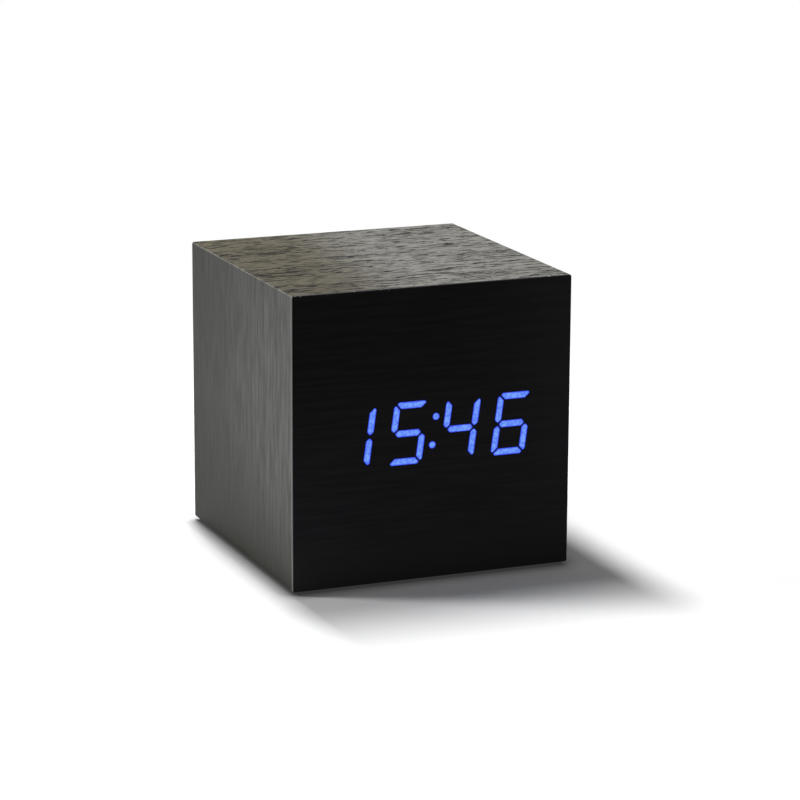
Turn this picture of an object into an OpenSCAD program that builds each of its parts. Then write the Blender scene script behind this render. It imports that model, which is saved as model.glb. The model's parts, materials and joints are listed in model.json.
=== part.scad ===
// Cube-shaped digital alarm clock in a veneered wooden case.
// The front veneer hides a four-digit segment display that shines through it.
// Millimetres. Z is up, the display faces -Y, and the origin is on the table
// under the centre of the case.

/* [Case] */
// Width of the wooden case
case_w = 68; // [61:1:100]
// Depth of the wooden case, front to back
case_d = 68; // [61:1:100]
// Height of the wooden case above its feet
case_h = 68; // [61:1:100]
// Thickness of the four boards that make the loop
board_t = 5; // [4:0.5:6]
// Thickness of the front board
front_t = 4; // [3:0.5:5]
// Thickness of the wood veneer
veneer_t = 0.6; // [0.5:0.1:0.8]
// Radius of the veneer where it wraps round an edge
wrap_r = 0.5; // [0.5:0.1:1.2]
// Rounding of the front veneer's rim
rim_r = 0.3; // [0.2:0.05:0.4]
// Side of the square glue blocks in the rear corners
block_s = 6; // [5:0.5:6.5]
// Length of the glue blocks, front to back
block_l = 15; // [10:1:24]

/* [Feet] */
// Diameter of a rubber foot
foot_d = 8; // [6:0.5:12]
// Height of a rubber foot
foot_h = 0.8; // [0.6:0.1:2]
// Distance from the sides of the case to the middle of a foot
foot_inset = 9; // [7:0.5:14]

/* [Display] */
// Height of a digit
digit_h = 14.6; // [12:0.2:16]
// Width of a digit before it is slanted
digit_w = 8.6; // [7:0.2:9.4]
// Distance between the middles of two digits
digit_pitch = 12.85; // [12:0.05:13.4]
// Width of a segment
seg_t = 1.6; // [1.4:0.1:2]
// Gap between two segments
seg_gap = 0.3; // [0.3:0.02:0.6]
// Lean of the digits from upright, in degrees
slant = 7.8; // [0:0.2:12]
// How far the digits sit above the middle of the front
display_up = 0.35; // [-4:0.05:4]
// Diameter of a colon dot
dot_d = 1.7; // [1.6:0.1:2.2]
// Distance between the colon dots, measured upright
dot_gap = 6.54; // [5:0.1:8]
// Depth of the light housing, from the back of the veneer
housing_d = 8; // [6.5:0.5:12]
// Margin of the housing round the digits
housing_margin = 2; // [1.4:0.1:2.2]
// Height of the fixing ears above and below the housing
ear_h = 5; // [4.4:0.2:7]
// Thickness of the fixing ears
ear_t = 1.2; // [1:0.1:2]
// The time that is lit, digit by digit
shown = [1, 5, 4, 6];

/* [Rear cover] */
// Thickness of the rear cover and of the battery door
cover_t = 2; // [1.8:0.1:2.6]
// How far the cover lies inside the rear edge of the case
cover_recess = 1.2; // [1.1:0.1:2.5]
// Thickness of the battery bay's walls
bay_wall = 1.2; // [1:0.1:1.4]
// Width of the ledge that the door rests on
door_ledge = 0.7; // [0.5:0.05:0.8]
// Width of a hook tab on the door
tab_w = 6; // [4:0.5:8]
// How far a hook tab reaches below the hinge line
tab_reach = 2.1; // [1.9:0.1:2.3]
// Width of the snap tongue on the door
tongue_w = 11; // [8:0.5:16]
// Length of the snap tongue on the door
tongue_l = 9; // [6:0.5:14]

/* [Battery] */
// Diameter of a cell
cell_d = 10.5; // [9.5:0.1:10.5]
// Length of a cell with its nub
cell_l = 44.5; // [43.3:0.1:44.5]
// Height of a pressed contact spring
spring_h = 4.6; // [4.2:0.1:4.8]
// Diameter of the spring wire
wire_d = 0.5; // [0.4:0.05:0.55]
// Thickness of the contact plates
contact_t = 0.4; // [0.3:0.05:0.5]

/* [Keys and inlet] */
// Distance between neighbouring keys
key_pitch = 11; // [10:0.2:11]
// Diameter of a key cap
key_d = 6; // [5:0.2:6.4]
// How far a key cap stands out of the cover
key_out = 1; // [0.8:0.1:1]
// Travel of a key
key_travel = 0.5; // [0.3:0.05:0.6]
// Side of a switch body
switch_s = 6; // [5:0.2:6.4]
// Diameter of the inlet's centre pin
inlet_pin_d = 1.3; // [1:0.05:1.4]
// Bore of the inlet round its pin
inlet_bore_d = 3.8; // [3.6:0.1:4.2]
// Side of the inlet's body
inlet_s = 9; // [8:0.2:9.4]

/* [Boards] */
// Thickness of the circuit boards
pcb_t = 1.6; // [1:0.2:1.6]
// Length of the bosses under the key board
boss_l = 5.2; // [5:0.1:6]
// Length of the posts between the battery bay and the main board
post_l = 3; // [2.6:0.1:5]
// Width of the ribbon cable
ribbon_w = 12; // [8:1:18]
// Thickness of the ribbon cable
ribbon_t = 0.8; // [0.6:0.1:1.2]

/* [Clearances] */
// Gap all round the rear cover and the light housing
fit_gap = 0.2; // [0.1:0.05:0.25]
// Gap all round the battery door
door_gap = 0.3; // [0.2:0.05:0.35]
// Gap round a cell in its trough
cell_gap = 0.2; // [0.1:0.05:0.25]
// Gap between the cells and the door
cell_room = 0.8; // [0.6:0.1:1.2]
// Gap round a key cap and round a switch plunger
key_gap = 0.2; // [0.15:0.05:0.3]
// Gap round a screw shank and round a segment's resin
shank_gap = 0.05; // [0.03:0.01:0.1]

/* [Hidden] */
$fn = 64;
// Overlap of a cutting tool past the face that it cuts
cut = 1;

// Battery bay
cell_n = 3;
cell_step = cell_d + cell_gap;
cell_slack = 0.2;
block_room = 0.4;
bay_x = (cell_l + spring_h + 2 * contact_t + cell_slack) / 2;
bay_out_x = bay_x + bay_wall;
in_z0 = foot_h + veneer_t + board_t;
bay_z0 = in_z0 + block_s + block_room + bay_wall;
bay_z1 = bay_z0 + cell_n * cell_d + (cell_n + 1) * cell_gap;
bay_out_z0 = bay_z0 - bay_wall;
bay_out_z1 = bay_z1 + bay_wall;
bay_mid_z = (bay_z0 + bay_z1) / 2;

// Display and key row
digit_lean = tan(slant);
digit_count = len(shown);
housing_w = (digit_count - 1) * digit_pitch + digit_w + digit_h * digit_lean + housing_margin;
housing_h = digit_h + 2 * housing_margin;
window_rim = 2;
key_edge = 0.7;
key_x = 1.5 * key_pitch + inlet_s / 2 + key_edge;

// Case, from outside to inside
z0 = foot_h;
z1 = z0 + case_h;
mid_z = (z0 + z1) / 2;
digits_z = mid_z + display_up;
loop_x = case_w / 2 - veneer_t;
loop_z0 = z0 + veneer_t;
loop_z1 = z1 - veneer_t;
in_x = loop_x - board_t;
in_z1 = loop_z1 - board_t;
back_y = case_d / 2;
face_y = -case_d / 2 + veneer_t;
board_back = face_y + front_t;

// Inside of the case at the display and at the rear unit. In a small case the
// boards leave less room than these need and are rebated for them
solder_rim = 0.3;
front_x = max(in_x, housing_w / 2 + fit_gap + window_rim);
rear_x = max(in_x, bay_out_x + contact_t + solder_rim + fit_gap, key_x + key_edge + block_s);
rear_z1 = max(in_z1, bay_out_z1 + inlet_s + 2 * key_edge);

// Behind the digits
housing_back = face_y + housing_d;
chip_s = 1;
chip_h = 0.7;
chip_room = 0.1;
display_back = housing_back + pcb_t;
tip_cut = 0.8;
// Segments of the figures 0 to 9
FIGURES = ["abcdef", "bc", "abdeg", "abcdg", "bcfg", "acdfg", "acdefg", "abc", "abcdefg", "abcdfg"];

// Screws: shank diameter, head diameter and head height
small_screw = [1.6, 3.2, 1];
case_screw = [2.2, 4, 1.2];
recess_w = 0.6;
// Width and depth of a recess as a share of its screw head
recess_share = 0.6;
ear_grip = 2;
post_grip = 2;
boss_grip = 3;
block_grip = 7;
// How much deeper a screw hole is than its screw
pilot_room = 0.5;
ear_screw_in = 3;

// Rear cover and cells
cover_out = back_y - cover_recess;
cover_in = cover_out - cover_t;
cover_x = rear_x - fit_gap;
cover_z0 = in_z0 + fit_gap;
cover_z1 = rear_z1 - fit_gap;
cell_y = cover_in - cell_room - cell_d / 2;
bay_back = cell_y - cell_d / 2 - cell_gap - bay_wall;
nub_d = 3.8;
nub_l = 1;
cell_edge_r = 0.5;

// Contacts and springs
plate_s = 8;
plate_low = 3.6;
plate_high = 4;
bridge_up = 0.4;
tail_w = 3;
tail_up = 1;
tail_gap = 0.1;
plate_y0 = cell_y - plate_low;
plate_y1 = cell_y + plate_high;
bridge_y0 = cell_y + bridge_up;
tail_y0 = cell_y + tail_up;
coil_turns = 4;
coil_rings = 8;
coil_sides = 6;
coil_r0 = 3.6;
coil_r1 = 2;
coil_seat = 0.05;

// Battery door and its hinge line
door_x = bay_x + door_ledge;
door_z0 = bay_z0 - door_ledge;
door_z1 = bay_z1 + door_ledge;
hinge_r = cover_t / 2;
hinge_y = cover_out - hinge_r;
hinge_z = door_z0 + hinge_r;
tab_x = bay_x / 2;
tab_t = 1;
tab_root = 2;
tab_y1 = cover_in - fit_gap;
tab_y0 = tab_y1 - tab_t;
tab_swing = norm([hinge_y - tab_y0, tab_reach]) + door_gap;
tongue_slot = 1;
grip_n = 4;
grip_r = 0.4;
grip_step = 1.6;
grip_in = 2.2;
barb_h = door_gap / 2;
barb_t = 0.8;

// Boards
main_y1 = bay_back - post_l;
main_y0 = main_y1 - pcb_t;
board_in = 1;
pin_edge = 2.4;
post_d = 4.4;
post_in = 4;
main_x = bay_out_x + contact_t + solder_rim;
main_z0 = bay_out_z0 + board_in;
post_x = bay_out_x - post_in;
post_dz = (bay_out_z1 - bay_out_z0) / 2 - post_in;
key_z = (bay_out_z1 + rear_z1) / 2;
key_h = rear_z1 - bay_out_z1 - 2 * key_edge;
key_y1 = cover_in - boss_l;
key_y0 = key_y1 - pcb_t;
boss_d = 4.4;
boss_z = key_z - key_h / 2 + boss_d / 2;
main_z1 = boss_z + pin_edge;
socket_w = ribbon_w + 2;
socket_h = 5;
socket_d = 4;
socket_up = 13;
socket_z = bay_mid_z + socket_up;

// Parts on the main board
chip_w = 10;
chip_z = 7.5;
chip_d = 2.3;
crystal_d = 2;
crystal_l = 6;
crystal_x = 9;
buzzer_d = 9;
buzzer_l = 4.5;
buzzer_hole = 1.6;
buzzer_x = -13;
sound_drop = 7;
buzzer_z = bay_mid_z - sound_drop;
can_d = 6.3;
can_l = 7.7;
can_r = 0.6;
can_x = 13;
can_z = bay_mid_z - sound_drop;
pin_s = 0.64;
pin_pitch = 2.54;
pin_n = 4;

// Keys: set, up, down, and the inlet as the fourth station
cap_y1 = cover_out + key_out;
flange_t = 1;
flange_w = 0.6;
cap_y0 = cover_in - flange_t;
cap_r = 0.5;
dish_r = 12;
dish_depth = 0.2;
switch_h = boss_l - flange_t - key_travel - key_gap;
plunger_d = 3.4;
plunger_l = 2.4;
plunger_in = cap_y0 - plunger_l;
plunger_room = 0.4;
nozzle_d = 7;
inlet_base = 1;
inlet_floor = key_y1 + inlet_base;
pin_short = 0.6;

// Sound slots under the battery bay
slot_n = 9;
slot_w = 1.2;
slot_h = 3.4;
slot_step = 2.6;
slot_z = (cover_z0 + bay_out_z0) / 2;

function station_x(i) = (1.5 - i) * key_pitch;
function cell_z(i) = bay_z0 + cell_gap + cell_d / 2 + i * cell_step;

// Extrudes an outline drawn in X and Z from y0 to y1
module along_y(y0, y1) {
    translate([0, y1, 0])
        rotate([90, 0, 0])
            linear_extrude(y1 - y0)
                children();
}

// Extrudes an outline drawn in Y and Z from x0 to x1
module along_x(x0, x1) {
    translate([x0, 0, 0])
        rotate([90, 0, 90])
            linear_extrude(x1 - x0)
                children();
}

// A box given by two opposite corners
module block(a, b) {
    translate(a)
        cube(b - a);
}

// A rectangle in the drawing plane given by two opposite corners
module area(a, b) {
    translate(a)
        square(b - a);
}

// Rectangle with round corners, centred
module round_rect(w, h, r) {
    square([w - 2 * r, h], center = true);
    square([w, h - 2 * r], center = true);
    for (x = [-1, 1], y = [-1, 1])
        translate([x * (w / 2 - r), y * (h / 2 - r)])
            circle(r);
}

// Upright slot with round ends, centred
module slot_area(w, h) {
    square([w, h - w], center = true);
    for (y = [-1, 1])
        translate([0, y * (h - w) / 2])
            circle(d = w);
}

// Section of a plate whose upper edge is round: width w, thickness t
module soft_section(w, t, r) {
    area([-w / 2, 0], [w / 2, t - r]);
    area([-w / 2 + r, 0], [w / 2 - r, t]);
    for (x = [-1, 1])
        intersection() {
            translate([x * (w / 2 - r), t - r])
                circle(r);
            area([-w / 2, 0], [w / 2, t]);
        }
}

// Plate on the drawing plane with corner radius r and a round upper rim
module soft_plate(w, h, t, r, rim) {
    rotate([90, 0, 0])
        linear_extrude(h - 2 * r, center = true)
            soft_section(w, t, rim);
    rotate([90, 0, 90])
        linear_extrude(w - 2 * r, center = true)
            soft_section(h, t, rim);
    for (x = [-1, 1], y = [-1, 1])
        translate([x * (w / 2 - r), y * (h / 2 - r), 0])
            rotate_extrude()
                intersection() {
                    soft_section(2 * r, t, rim);
                    area([0, 0], [r, t]);
                }
}

// Screw along Z: the head stands on the drawing plane, the shank goes down
module screw(size, grip) {
    difference() {
        union() {
            cylinder(d = size[1], h = size[2]);
            translate([0, 0, -grip])
                cylinder(d = size[0], h = grip + size[2] / 2);
        }
        for (a = [0, 90])
            rotate(a)
                translate([-size[1] * recess_share / 2, -recess_w / 2, size[2] * (1 - recess_share)])
                    cube([size[1] * recess_share, recess_w, size[2]]);
    }
}

// Hole for a small screw that goes through a board into a post
module pilot_hole(board, grip) {
    depth = board + grip + pilot_room;
    translate([0, 0, -depth])
        cylinder(d = small_screw[0] + 2 * shank_gap, h = depth);
}

// Round bar or hole along Y
module round_y(x, z, d, y0, y1) {
    along_y(y0, y1)
        translate([x, z])
            circle(d = d);
}

// Case

module wrap_veneer() {
    color("#1b1a19")
        along_y(face_y, back_y)
            translate([0, mid_z])
                difference() {
                    round_rect(case_w, case_h, wrap_r);
                    square([2 * loop_x, loop_z1 - loop_z0], center = true);
                }
}

module front_veneer() {
    color("#141414")
        translate([0, face_y, mid_z])
            rotate([90, 0, 0])
                soft_plate(case_w, case_h, veneer_t, wrap_r, rim_r);
}

// Rebates in the boards of a case that is small for its content
module rebates() {
    if (front_x > in_x)
        block([-front_x, face_y - cut, in_z0], [front_x, display_back + fit_gap, in_z1]);
    if (rear_x > in_x || rear_z1 > in_z1)
        block([-rear_x, main_y0 - fit_gap, in_z0], [rear_x, back_y + cut, rear_z1]);
}

module top_board() {
    color("#6b5136")
        difference() {
            along_y(face_y, back_y)
                polygon([[-loop_x, loop_z1], [loop_x, loop_z1], [in_x, in_z1], [-in_x, in_z1]]);
            rebates();
        }
}

module bottom_board() {
    color("#6b5136")
        along_y(face_y, back_y)
            polygon([[-loop_x, loop_z0], [loop_x, loop_z0], [in_x, in_z0], [-in_x, in_z0]]);
}

// Upright board with both ends mitred, on the right
module side_board() {
    difference() {
        along_y(face_y, back_y)
            polygon([[loop_x, loop_z0], [loop_x, loop_z1], [in_x, in_z1], [in_x, in_z0]]);
        rebates();
    }
}

module left_board() {
    color("#75583b")
        mirror([1, 0, 0])
            side_board();
}

module right_board() {
    color("#75583b")
        side_board();
}

module front_board() {
    color("#7d6041")
        difference() {
            block([-front_x, face_y, in_z0], [front_x, board_back, in_z1]);
            along_y(face_y - cut, board_back + cut)
                translate([0, digits_z])
                    square([housing_w + 2 * fit_gap, housing_h + 2 * fit_gap], center = true);
            ear_screw_places()
                cylinder(d = small_screw[0] + 2 * shank_gap, h = 2 * (ear_grip + pilot_room), center = true);
        }
}

module corner_blocks() {
    color("#8a6b48")
        for (x = [-1, 1], z = [in_z0, rear_z1 - block_s])
            difference() {
                translate([x * (rear_x - block_s / 2) - block_s / 2, cover_in - block_l, z])
                    cube([block_s, block_l, block_s]);
                round_y(x * (rear_x - block_s / 2), z + block_s / 2,
                       case_screw[0] + 2 * shank_gap, cover_in - block_grip - pilot_room, cover_in + cut);
            }
}

module rubber_feet() {
    color("#303030")
        for (x = [-1, 1], y = [-1, 1])
            translate([x * (case_w / 2 - foot_inset), y * (case_d / 2 - foot_inset), 0])
                cylinder(d = foot_d, h = foot_h);
}

// Display

// Outlines of the segments of one upright digit, centred: w wide, h high,
// t thick, with gap g between neighbours and the sharp tips cut back
function top_outline(w, h, t, e, c) = [
    [-w / 2 + e + c, h / 2], [w / 2 - e - c, h / 2],
    [w / 2 - e - c / 2, h / 2 - c / 2], [w / 2 - t - e, h / 2 - t],
    [-w / 2 + t + e, h / 2 - t], [-w / 2 + e + c / 2, h / 2 - c / 2]
];
function side_outline(w, h, t, e, c) = [
    [w / 2, h / 2 - e - c], [w / 2 - c / 2, h / 2 - e - c / 2],
    [w / 2 - t, h / 2 - t - e], [w / 2 - t, t / 2 + e],
    [w / 2 - t / 2, e], [w / 2, t / 2 + e]
];
function middle_outline(w, t, e) = [
    [-w / 2 + t / 2 + e, 0], [-w / 2 + t + e, t / 2], [w / 2 - t - e, t / 2],
    [w / 2 - t / 2 - e, 0], [w / 2 - t - e, -t / 2], [-w / 2 + t + e, -t / 2]
];
function turned(p, sx, sz) = [for (q = p) [sx * q[0], sz * q[1]]];
function leaned(p) = [for (q = p) [q[0] + q[1] * digit_lean, q[1]]];

// Outline of segment s, drawn back by the amount inset on every side
function segment(s, inset) =
    let (w = digit_w - 2 * inset, h = digit_h - 2 * inset, t = seg_t - 2 * inset,
         e = (seg_gap + 2 * inset) / sqrt(2), top = top_outline(w, h, t, e, tip_cut),
         side = side_outline(w, h, t, e, tip_cut))
    leaned(s == "a" ? top : s == "d" ? turned(top, 1, -1) : s == "g" ? middle_outline(w, t, e)
         : s == "b" ? side : s == "c" ? turned(side, 1, -1)
         : s == "f" ? turned(side, -1, 1) : turned(side, -1, -1));

// Middle of segment s
function segment_mid(s) =
    let (x = digit_w / 2 - seg_t / 2, z = digit_h / 2 - seg_t / 2)
    leaned([s == "a" ? [0, z] : s == "d" ? [0, -z] : s == "g" ? [0, 0]
          : s == "b" ? [x, z / 2] : s == "c" ? [x, -z / 2] : s == "f" ? [-x, z / 2] : [-x, -z / 2]])[0];

function is_lit(figure, s) = len(search(s, FIGURES[figure])) > 0;
function digit_x(i) = (i - (digit_count - 1) / 2) * digit_pitch;
function dot_place(k) = [k * dot_gap / 2 * digit_lean, k * dot_gap / 2];

// Segments that are lit, or the dark ones, of all four figures
module segment_areas(lit, inset) {
    for (i = [0:digit_count - 1], s = "abcdefg")
        if (is_lit(shown[i], s) == lit)
            translate([digit_x(i), 0])
                polygon(segment(s, inset));
}

module dot_areas(inset) {
    for (k = [-1, 1])
        translate(dot_place(k))
            circle(d = dot_d - 2 * inset);
}

// Places the children on the four ear screws, with Z towards the back
module ear_screw_places() {
    for (x = [-1, 1], z = [-1, 1])
        translate([x * (housing_w / 2 - ear_screw_in), board_back, digits_z + z * (housing_h + ear_h) / 2])
            rotate([-90, 0, 0])
                children();
}

module display_housing() {
    color("#d8d8d4")
        difference() {
            union() {
                along_y(face_y, housing_back)
                    translate([0, digits_z])
                        square([housing_w, housing_h], center = true);
                along_y(board_back, board_back + ear_t)
                    translate([0, digits_z])
                        square([housing_w, housing_h + 2 * ear_h], center = true);
            }
            along_y(face_y - cut, housing_back + cut)
                translate([0, digits_z]) {
                    segment_areas(true, 0);
                    segment_areas(false, 0);
                    dot_areas(0);
                }
            ear_screw_places()
                cylinder(d = small_screw[0] + 2 * shank_gap, h = 2 * ear_t + cut, center = true);
        }
}

module lit_segments() {
    color("#4a6cff")
        along_y(face_y, housing_back - chip_h - chip_room)
            translate([0, digits_z]) {
                segment_areas(true, shank_gap);
                dot_areas(shank_gap);
            }
}

module unlit_segments() {
    color("#c8ccd4")
        along_y(face_y, housing_back - chip_h - chip_room)
            translate([0, digits_z])
                segment_areas(false, shank_gap);
}

module led_chips() {
    color("#f2e6a0")
        along_y(housing_back - chip_h, housing_back)
            translate([0, digits_z]) {
                for (i = [0:digit_count - 1], s = "abcdefg")
                    translate([digit_x(i), 0] + segment_mid(s))
                        square(chip_s, center = true);
                for (k = [-1, 1])
                    translate(dot_place(k))
                        square(chip_s, center = true);
            }
}

module display_pcb() {
    color("#1f5a34")
        along_y(housing_back, display_back)
            translate([0, digits_z])
                square([housing_w, housing_h], center = true);
}

module display_screws() {
    color("#b9bcc0")
        translate([0, ear_t, 0])
            ear_screw_places()
                screw(small_screw, ear_t + ear_grip);
}

module ribbon_sockets() {
    color("#e6e2d6") {
        block([-socket_w / 2, display_back, digits_z - socket_h / 2],
              [socket_w / 2, display_back + socket_d, digits_z + socket_h / 2]);
        block([-socket_w / 2, main_y0 - socket_d, socket_z - socket_h / 2],
              [socket_w / 2, main_y0, socket_z + socket_h / 2]);
    }
}

// Ribbon from the display board to the main board, in one easy double bend
ribbon_steps = 24;
ribbon_y0 = display_back + socket_d;
ribbon_y1 = main_y0 - socket_d;
function ribbon_z(u) = digits_z + (socket_z - digits_z) * (1 - cos(180 * u)) / 2;

module display_ribbon() {
    lower = [for (i = [0:ribbon_steps])
        let (u = i / ribbon_steps)
        [ribbon_y0 + (ribbon_y1 - ribbon_y0) * u, ribbon_z(u) - ribbon_t / 2]];
    upper = [for (i = [ribbon_steps:-1:0]) lower[i] + [0, ribbon_t]];
    color("#8d9299")
        along_x(-ribbon_w / 2, ribbon_w / 2)
            polygon(concat(lower, upper));
}

// Rear cover, battery bay and door

module rear_screw_places() {
    for (x = [-1, 1], z = [in_z0 + block_s / 2, rear_z1 - block_s / 2])
        translate([x * (rear_x - block_s / 2), cover_out - case_screw[2], z])
            rotate([-90, 0, 0])
                children();
}

module main_screw_places() {
    for (x = [-1, 1], z = [-1, 1])
        translate([x * post_x, main_y0, bay_mid_z + z * post_dz])
            rotate([90, 0, 0])
                children();
}

module key_screw_places() {
    for (i = [0, 1])
        translate([(station_x(i) + station_x(i + 1)) / 2, key_y0, boss_z])
            rotate([90, 0, 0])
                children();
}

// Room for the cells: troughs below, a plain pocket above
module bay_pocket() {
    block([-bay_x, cell_y, bay_z0], [bay_x, cover_in + cut, bay_z1]);
    for (i = [0:cell_n - 1])
        along_x(-bay_x, bay_x)
            translate([cell_y, cell_z(i)])
                circle(d = cell_d + 2 * cell_gap);
}

// Slot in the end wall of the bay for a contact's tail
module tail_slot(side, i) {
    half = tail_w / 2 + tail_gap;
    block([side > 0 ? bay_x - cut : -bay_out_x - cut, tail_y0 - tail_gap, cell_z(i) - half],
          [side > 0 ? bay_out_x + cut : -bay_x + cut, plate_y1 + tail_gap, cell_z(i) + half]);
}

module rear_cover() {
    color("#232426")
        difference() {
            union() {
                block([-cover_x, cover_in, cover_z0], [cover_x, cover_out, cover_z1]);
                block([-bay_out_x, bay_back, bay_out_z0], [bay_out_x, hinge_y, bay_out_z1]);
                for (x = [-1, 1], z = [-1, 1])
                    round_y(x * post_x, bay_mid_z + z * post_dz, post_d, main_y1, bay_back + bay_wall / 2);
                for (i = [0, 1])
                    round_y((station_x(i) + station_x(i + 1)) / 2, boss_z, boss_d, key_y1, hinge_y);
            }
            bay_pocket();
            block([-door_x - door_gap, cover_in, door_z0 - door_gap],
                  [door_x + door_gap, cover_out + cut, door_z1 + door_gap]);
            for (x = [-1, 1])
                block([x * tab_x - tab_w / 2 - door_gap, hinge_y - tab_swing, bay_out_z0 - cut],
                      [x * tab_x + tab_w / 2 + door_gap, cover_in, bay_z0 + cut]);
            tail_slot(-1, 0);
            tail_slot(1, cell_n - 1);
            rear_screw_places() {
                cylinder(d = case_screw[1] + 2 * fit_gap, h = case_screw[2] + cut);
                translate([0, 0, -cover_t])
                    cylinder(d = case_screw[0] + 2 * fit_gap, h = cover_t + cut);
            }
            main_screw_places()
                pilot_hole(pcb_t, post_grip);
            key_screw_places()
                pilot_hole(pcb_t, boss_grip);
            for (i = [0:2])
                round_y(station_x(i), key_z, key_d + 2 * key_gap, cover_in - cut, cover_out + cut);
            round_y(station_x(3), key_z, nozzle_d + 2 * fit_gap, cover_in - cut, cover_out + cut);
            for (i = [0:slot_n - 1])
                along_y(cover_in - cut, cover_out + cut)
                    translate([(i - (slot_n - 1) / 2) * slot_step, slot_z])
                        slot_area(slot_w, slot_h);
        }
}

module rear_screws() {
    color("#9a9da1")
        rear_screw_places()
            screw(case_screw, cover_t - case_screw[2] + block_grip);
}

// Door plate with a round lower edge on the hinge line, a snap tongue at the
// top with grip ribs and a small barb, and two hook tabs behind the cover
module battery_door() {
    color("#2a2b2e") {
        difference() {
            along_x(-door_x, door_x) {
                area([cover_in, hinge_z], [cover_out, door_z1]);
                translate([hinge_y, hinge_z])
                    circle(hinge_r);
            }
            for (x = [-1, 1])
                translate([x * (tongue_w + tongue_slot) / 2, 0, 0])
                    block([-tongue_slot / 2, cover_in - cut, door_z1 - tongue_l],
                          [tongue_slot / 2, cover_out + cut, door_z1 + cut]);
        }
        for (i = [0:grip_n - 1])
            along_x(-tongue_w / 2 + grip_r, tongue_w / 2 - grip_r)
                intersection() {
                    translate([cover_out, door_z1 - grip_in - i * grip_step])
                        circle(grip_r);
                    area([cover_out - grip_r / 2, 0], [cover_out + grip_r, z1]);
                }
        block([-tongue_w / 2 + tongue_slot, cover_in, door_z1 - barb_t],
              [tongue_w / 2 - tongue_slot, cover_in + barb_t, door_z1 + barb_h]);
        for (x = [-1, 1]) {
            block([x * tab_x - tab_w / 2, tab_y0, hinge_z - tab_reach],
                  [x * tab_x + tab_w / 2, tab_y1, hinge_z + tab_root]);
            block([x * tab_x - tab_w / 2, tab_y0, hinge_z],
                  [x * tab_x + tab_w / 2, hinge_y, hinge_z + tab_root]);
        }
    }
}

// Lengthwise place of the cells: every second one is turned end for end
function cell_side(i) = i % 2 == 0 ? -1 : 1;
cell_off = (spring_h - cell_slack) / 2;

module battery_cells() {
    color("#c47a2c")
        for (i = [0:cell_n - 1])
            translate([-cell_side(i) * cell_off, cell_y, cell_z(i)])
                rotate([0, -cell_side(i) * 90, 0])
                    translate([0, 0, -cell_l / 2])
                        rotate_extrude() {
                            area([0, 0], [cell_d / 2, cell_l - nub_l - cell_edge_r]);
                            area([0, 0], [cell_d / 2 - cell_edge_r, cell_l - nub_l]);
                            translate([cell_d / 2 - cell_edge_r, cell_l - nub_l - cell_edge_r])
                                circle(cell_edge_r);
                            area([0, 0], [nub_d / 2, cell_l]);
                        }
}

// Points of a conical coil that stands on the plane x = 0
coil_steps = coil_turns * coil_rings;
function coil_radius(i) = coil_r0 + (coil_r1 - coil_r0) * i / coil_steps;
function coil_rise(i) = coil_seat + wire_d / 2 + (spring_h - wire_d - 2 * coil_seat) * i / coil_steps;
function coil_point(i, r, x) =
    let (a = 360 * i / coil_rings)
    [x, r * cos(a), r * sin(a)];
coil_line = [for (i = [0:coil_steps]) coil_point(i, coil_radius(i), coil_rise(i))];
coil_skin = [for (i = [0:coil_steps], k = [0:coil_sides - 1])
    let (b = 360 * k / coil_sides)
    coil_point(i, coil_radius(i) + wire_d / 2 * cos(b), coil_rise(i) + wire_d / 2 * sin(b))];
function skin_no(i, k) = i * coil_sides + k % coil_sides;
coil_faces = concat(
    [for (k = [1:coil_sides - 2]) [skin_no(0, 0), skin_no(0, k), skin_no(0, k + 1)]],
    [for (i = [0:coil_steps - 1], k = [0:coil_sides - 1])
        [skin_no(i, k), skin_no(i + 1, k), skin_no(i + 1, k + 1)]],
    [for (i = [0:coil_steps - 1], k = [0:coil_sides - 1])
        [skin_no(i, k), skin_no(i + 1, k + 1), skin_no(i, k + 1)]],
    [for (k = [1:coil_sides - 2])
        [skin_no(coil_steps, 0), skin_no(coil_steps, k + 1), skin_no(coil_steps, k)]]
);
coil_gap = min([for (i = [0:coil_steps], j = [i + coil_rings / 2:1:coil_steps])
    norm(coil_line[i] - coil_line[j])]) - wire_d;
echo(spring_self_gap = coil_gap);

module battery_springs() {
    color("#c9ccd1")
        for (i = [0:cell_n - 1])
            translate([cell_side(i) * (bay_x - contact_t), cell_y, cell_z(i)])
                rotate([0, 0, cell_side(i) > 0 ? 180 : 0])
                    polyhedron(coil_skin, coil_faces);
}

// One contact plate at the end of cell i, on the left or right
module contact_plate(side, i) {
    block([side > 0 ? bay_x - contact_t : -bay_x, plate_y0, cell_z(i) - plate_s / 2],
          [side > 0 ? bay_x : -bay_x + contact_t, plate_y1, cell_z(i) + plate_s / 2]);
}

// Bridge between the plates of cells i and i + 1
module contact_bridge(side, i) {
    block([side > 0 ? bay_x - contact_t : -bay_x, bridge_y0, cell_z(i)],
          [side > 0 ? bay_x : -bay_x + contact_t, plate_y1, cell_z(i + 1)]);
}

// Tail of cell i's plate: through the end wall and along it to the main board
module contact_tail(i) {
    block([bay_x - contact_t, tail_y0, cell_z(i) - tail_w / 2],
          [bay_out_x + contact_t, plate_y1, cell_z(i) + tail_w / 2]);
    block([bay_out_x, main_y1, cell_z(i) - tail_w / 2],
          [bay_out_x + contact_t, plate_y1, cell_z(i) + tail_w / 2]);
}

module battery_contacts() {
    color("#d0d3d6") {
        for (side = [-1, 1], i = [0:cell_n - 1])
            contact_plate(side, i);
        contact_bridge(-1, 1);
        contact_bridge(1, 0);
        mirror([1, 0, 0])
            contact_tail(0);
        contact_tail(cell_n - 1);
    }
}

// Boards and what they carry

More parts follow.
